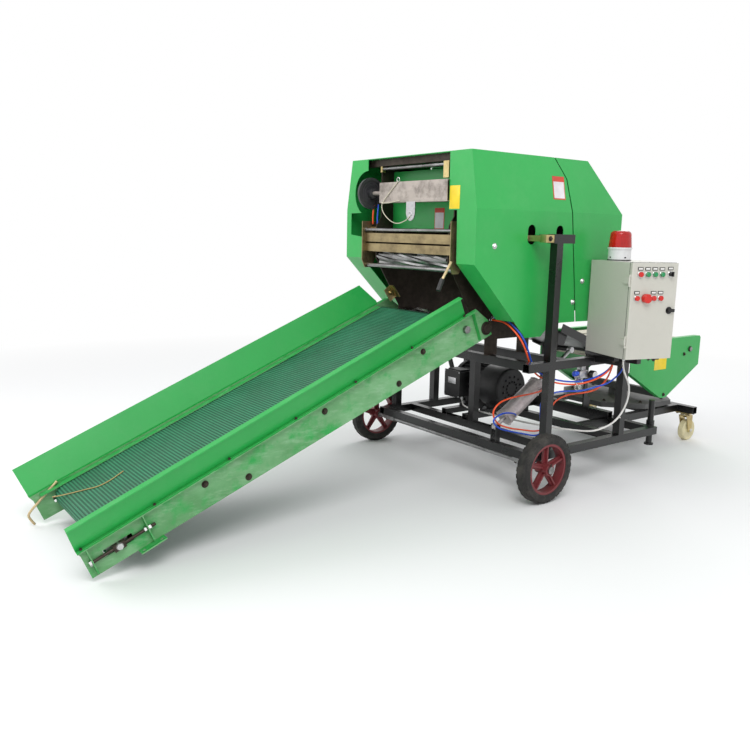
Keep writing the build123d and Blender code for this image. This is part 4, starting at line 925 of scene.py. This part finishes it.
def motor_fittings():
    """Screws and blank plate of the terminal lid, foot bolts and the lifting eye."""
    x, y, z = TERMINAL
    bm = bmesh.new()
    for dy in (-57, 57):
        for dz in (-68, 68):
            add_cylinder(bm, at(LID_FACE_X, y + dy, z + dz), -X, 0.0045, 0.003, 16, rim=0.001)
    add_box(bm, at(LID_FACE_X - 0.9, y, z + 18), (Y, Z, X), (0.062, 0.034, 0.0008), rim=0.0003)
    for dx in (-92, 92):
        for foot_y in FOOT_Y:
            add_bolt(bm, on_motor(foot_y, x=dx, z=-118), Z, *BOLT_10_TALL)
    torus(bm, on_motor(DRIVE_END - 13, z=124), Y, 0.014, 0.005, 28, 10)
    add_cylinder(bm, on_motor(DRIVE_END - 13, z=104), Z, 0.007, 0.010, 16)
    piece("motor_fittings", bm, aluminium)


# Ramp cylinder
RAMP_BASE = (4.0, -320.0, 285.0)
RAMP_WAY = Vector((516.0, 0, 337.0)).normalized()
RAMP_UP = RAMP_WAY.cross(Y)
TIE_ROD = 27.0


def on_cylinder(s, across=0.0, up=0.0):
    # A point along the cylinder, from its base pin.
    return at(*RAMP_BASE) + (RAMP_WAY * s + Y * across + RAMP_UP * up) / 1000


def ramp_barrel():
    """A stout barrel with end caps, nuts of its tie rods and two ports, in place of the CAD's slim one."""
    bm = bmesh.new()
    add_cylinder(bm, on_cylinder(78), RAMP_WAY, 0.041, 0.244, 48)
    for s in (66, 316):
        add_cylinder(bm, on_cylinder(s), RAMP_WAY, 0.0435, 0.018, 48, rim=0.0015)
    for across in (-TIE_ROD, TIE_ROD):
        for up in (-TIE_ROD, TIE_ROD):
            add_nut(bm, on_cylinder(66, across, up), -RAMP_WAY, 0.013, 0.007)
            add_nut(bm, on_cylinder(334, across, up), RAMP_WAY, 0.013, 0.007)
    add_cylinder(bm, on_cylinder(10), RAMP_WAY, 0.010, 0.060, 24)
    add_cylinder(bm, on_cylinder(0, -12), Y, 0.016, 0.024, 32, rim=0.001)
    for s in (98, 304):
        add_cylinder(bm, on_cylinder(s, -38), -Y, 0.008, 0.016, 24, rim=0.001)
    barrel = piece("ramp_barrel_body", bm, cast_grey, "ramp_barrel")
    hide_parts("ramp_cylinder_barrel")


# Wheels, casters and table
LUG_COUNT = 30
PIN_Y = 678.4
SADDLE_BOLTS_Y = (465, 535)
TABLE_ROLLERS_X = (1118, 1582)
TABLE_PLATE_BOLTS = ((1527, 525), (1173, 525), (1340, 600), (1350, 300))
DECK_BOLTS_R = 270


def tyre_lugs():
    """Lugs on the shoulders and two beads on the walls of each tyre."""
    for side, name in ((-1, "near"), (1, "far")):
        bm = bmesh.new()
        for edge in SIDES:
            for i in range(LUG_COUNT):
                angle = 2 * math.pi * (i + (0.5 if edge > 0 else 0.0)) / LUG_COUNT
                out = X * math.cos(angle) + Z * math.sin(angle)
                place = at(0, side * TRACK_Y + edge * 24.0, WHEEL_R) + out * 0.154
                normal = (out + Y * edge).normalized()
                axes = (normal, out.cross(Y), normal.cross(out.cross(Y)))
                add_box(bm, place, axes, (0.0034, 0.017, 0.0095), rim=0.0008)
            torus(bm, at(0, side * TRACK_Y + edge * 29.4, WHEEL_R), Y, 0.1385, 0.0013, 64, 6)
            torus(bm, at(0, side * TRACK_Y + edge * 28.6, WHEEL_R), Y, 0.1275, 0.0016, 64, 6)
        piece("tyre_lugs_" + name, bm, tyre, "front_wheel_" + name)


def axle_pins():
    """Split pins at the axle's ends and the bolts of its saddles."""
    bm = bmesh.new()
    for side in SIDES:
        add_cylinder(bm, at(0, side * PIN_Y, 182), -Z, 0.0022, 0.046, 12)
        torus(bm, at(0, side * PIN_Y, 184), Y, 0.0042, 0.0018, 16, 6)
        for y in SADDLE_BOLTS_Y:
            add_bolt(bm, at(0, side * y, 152), -Z, *BOLT_10)
    piece("axle_pins", bm, dark_steel)


def caster_fittings():
    """Nuts of the kingpins and plates, then each fork's race and the nuts of its wheel's pin."""
    x, y = KINGPIN
    bm = bmesh.new()
    for side in SIDES:
        add_nut(bm, at(x, side * y, 149), -Z, 0.019, 0.008)
        for dx in (-26, 26):
            for dy in (-36, 36):
                add_nut(bm, at(x + dx, side * y + dy, 167.5), -Z, 0.012, 0.006)
    piece("caster_plate_nuts", bm, dark_steel)
    for side, name in ((-1, "near"), (1, "far")):
        bm = bmesh.new()
        torus(bm, at(x, side * y, 160), Z, 0.0262, 0.0022, 40, 8)
        for way in SIDES:
            add_nut(bm, at(x + CASTER_TRAIL, side * y + way * 27, 62.5), Y * way, 0.017, 0.007)
        piece("caster_pins_" + name, bm, bright, "caster_swivel_" + name)


def table_bolts():
    """Rings on the roller shafts, bolts of the side plates and of the deck."""
    bm = bmesh.new()
    for side in SIDES:
        face = WORK_LINE + side * TABLE_HALF
        for x in TABLE_ROLLERS_X:
            torus(bm, at(x, face + side * 3, 552), Y, 0.0145, 0.0022, 28, 8)
        for x, z in TABLE_PLATE_BOLTS:
            add_bolt(bm, at(x, face, z), Y * side, *BOLT_8)
    for i in range(8):
        angle = math.radians(22.5 + 45 * i)
        x, y = TABLE_X + DECK_BOLTS_R * math.cos(angle), WORK_LINE + DECK_BOLTS_R * math.sin(angle)
        add_bolt(bm, at(x, y, 250), Z, *BOLT_8)
    piece("table_bolts", bm, dark_steel, "wrapping_table")


# The pieces, in the order of making
for make in (
        conveyor_bolts, belt_ribs, conveyor_nuts, conveyor_scraps, cover_bolts, twine, mouth_lever,
        corner_bracket, hose_stubs, post_stays, mouth_rods, eye_plate, turning_rings, blank_plates,
        door_controls, swing_handle, door_seal, cable_glands, box_tray, lamp_marks, hoses, hose_fittings,
        air_unit, motor_body, motor_fittings, ramp_barrel, tyre_lugs, axle_pins, caster_fittings,
        table_bolts):
    make()

# Camera at the photograph's viewing angle
CAMERA_AT = at(-2629.47, -2875.66, 1200.0)
YAW, PITCH, ROLL = (math.radians(a) for a in (36.64, 10.54, 1.19))
FOCAL_PIXELS, PHOTO_PIXELS, SENSOR = 771.7, 750.0, 36.0


def add_camera():
    forward = Vector((math.sin(YAW) * math.cos(PITCH), math.cos(YAW) * math.cos(PITCH), -math.sin(PITCH)))
    level_right = Vector((math.cos(YAW), -math.sin(YAW), 0))
    level_up = level_right.cross(forward)
    right = level_right * math.cos(ROLL) + level_up * math.sin(ROLL)
    up = level_up * math.cos(ROLL) - level_right * math.sin(ROLL)
    data = bpy.data.cameras.new("camera")
    data.sensor_width = SENSOR
    data.lens = FOCAL_PIXELS * SENSOR / PHOTO_PIXELS
    data.clip_end = 100.0
    camera = bpy.data.objects.new("camera", data)
    camera.matrix_world = Matrix.Translation(CAMERA_AT) @ Matrix((right, up, -forward)).transposed().to_4x4()
    bpy.context.scene.collection.objects.link(camera)
    bpy.context.scene.camera = camera


# Floor, world and lamps
FLOOR_SIZE = 60.0
FADE_FROM, FADE_TO = 2.6, 5.5
AMBIENT, AMBIENT_STRENGTH = (0.97, 0.985, 1.0, 1.0), 0.72
WHITE = (1, 1, 1, 1)
LAMPS = (
    ("key", (-2.6, -3.4, 4.6), (0.1, 0.0, 0.7), 3.0, 150.0),
    ("fill", (-4.0, 2.2, 3.0), (-0.3, 0.0, 0.6), 3.0, 60.0),
    ("back", (3.8, 2.6, 3.6), (0.5, 0.0, 0.8), 3.0, 60.0))


def add_floor():
    """A pale floor that shows as plain white further off."""
    bpy.ops.mesh.primitive_plane_add(size=FLOOR_SIZE, location=(0, 0, 0))
    floor = bpy.context.object
    floor.name = "studio_floor"
    g = Graph("studio_floor")
    g.set(Base_Color=srgb(244, 244, 244), Roughness=0.9)
    distance = g.node("ShaderNodeVectorMath", {0: g.coords}, operation="LENGTH").outputs["Value"]
    white = g.node("ShaderNodeEmission", {"Color": WHITE, "Strength": 1.0})
    seen = g.node("ShaderNodeLightPath", {})
    direct = g.math("MAXIMUM", seen.outputs["Is Camera Ray"], seen.outputs["Is Glossy Ray"])
    far = g.math("MULTIPLY", direct, g.ramp(distance, FADE_FROM, FADE_TO))
    blend = g.node("ShaderNodeMixShader", {0: far, 1: g.bsdf.outputs[0], 2: white.outputs[0]})
    g.put(g.surface, blend.outputs[0])
    floor.data.materials.append(g.material)


def set_world():
    """Even light from all round; the camera, reflections and clear plastic see plain white."""
    world = bpy.data.worlds.new("studio")
    world.use_nodes = True
    nodes, links = world.node_tree.nodes, world.node_tree.links
    nodes.clear()
    paths = nodes.new("ShaderNodeLightPath").outputs
    seen = paths["Is Camera Ray"]
    for ray in ("Is Glossy Ray", "Is Transmission Ray"):
        either = nodes.new("ShaderNodeMath")
        either.operation = "MAXIMUM"
        links.new(seen, either.inputs[0])
        links.new(paths[ray], either.inputs[1])
        seen = either.outputs[0]
    pick = nodes.new("ShaderNodeMixShader")
    links.new(seen, pick.inputs[0])
    for place, colour, strength in ((1, AMBIENT, AMBIENT_STRENGTH), (2, WHITE, 1.0)):
        background = nodes.new("ShaderNodeBackground")
        background.inputs["Color"].default_value = colour
        background.inputs["Strength"].default_value = strength
        links.new(background.outputs[0], pick.inputs[place])
    links.new(pick.outputs[0], nodes.new("ShaderNodeOutputWorld").inputs[0])
    bpy.context.scene.world = world


def add_lamps():
    for name, place, target, size, power in LAMPS:
        data = bpy.data.lights.new(name, "AREA")
        data.shape = "DISK"
        data.size = size
        data.energy = power
        lamp = bpy.data.objects.new(name, data)
        lamp.location = place
        lamp.rotation_euler = (Vector(target) - Vector(place)).to_track_quat("-Z", "Y").to_euler()
        bpy.context.scene.collection.objects.link(lamp)


add_camera()
add_floor()
set_world()
add_lamps()
bpy.context.scene.view_settings.view_transform = "Standard"
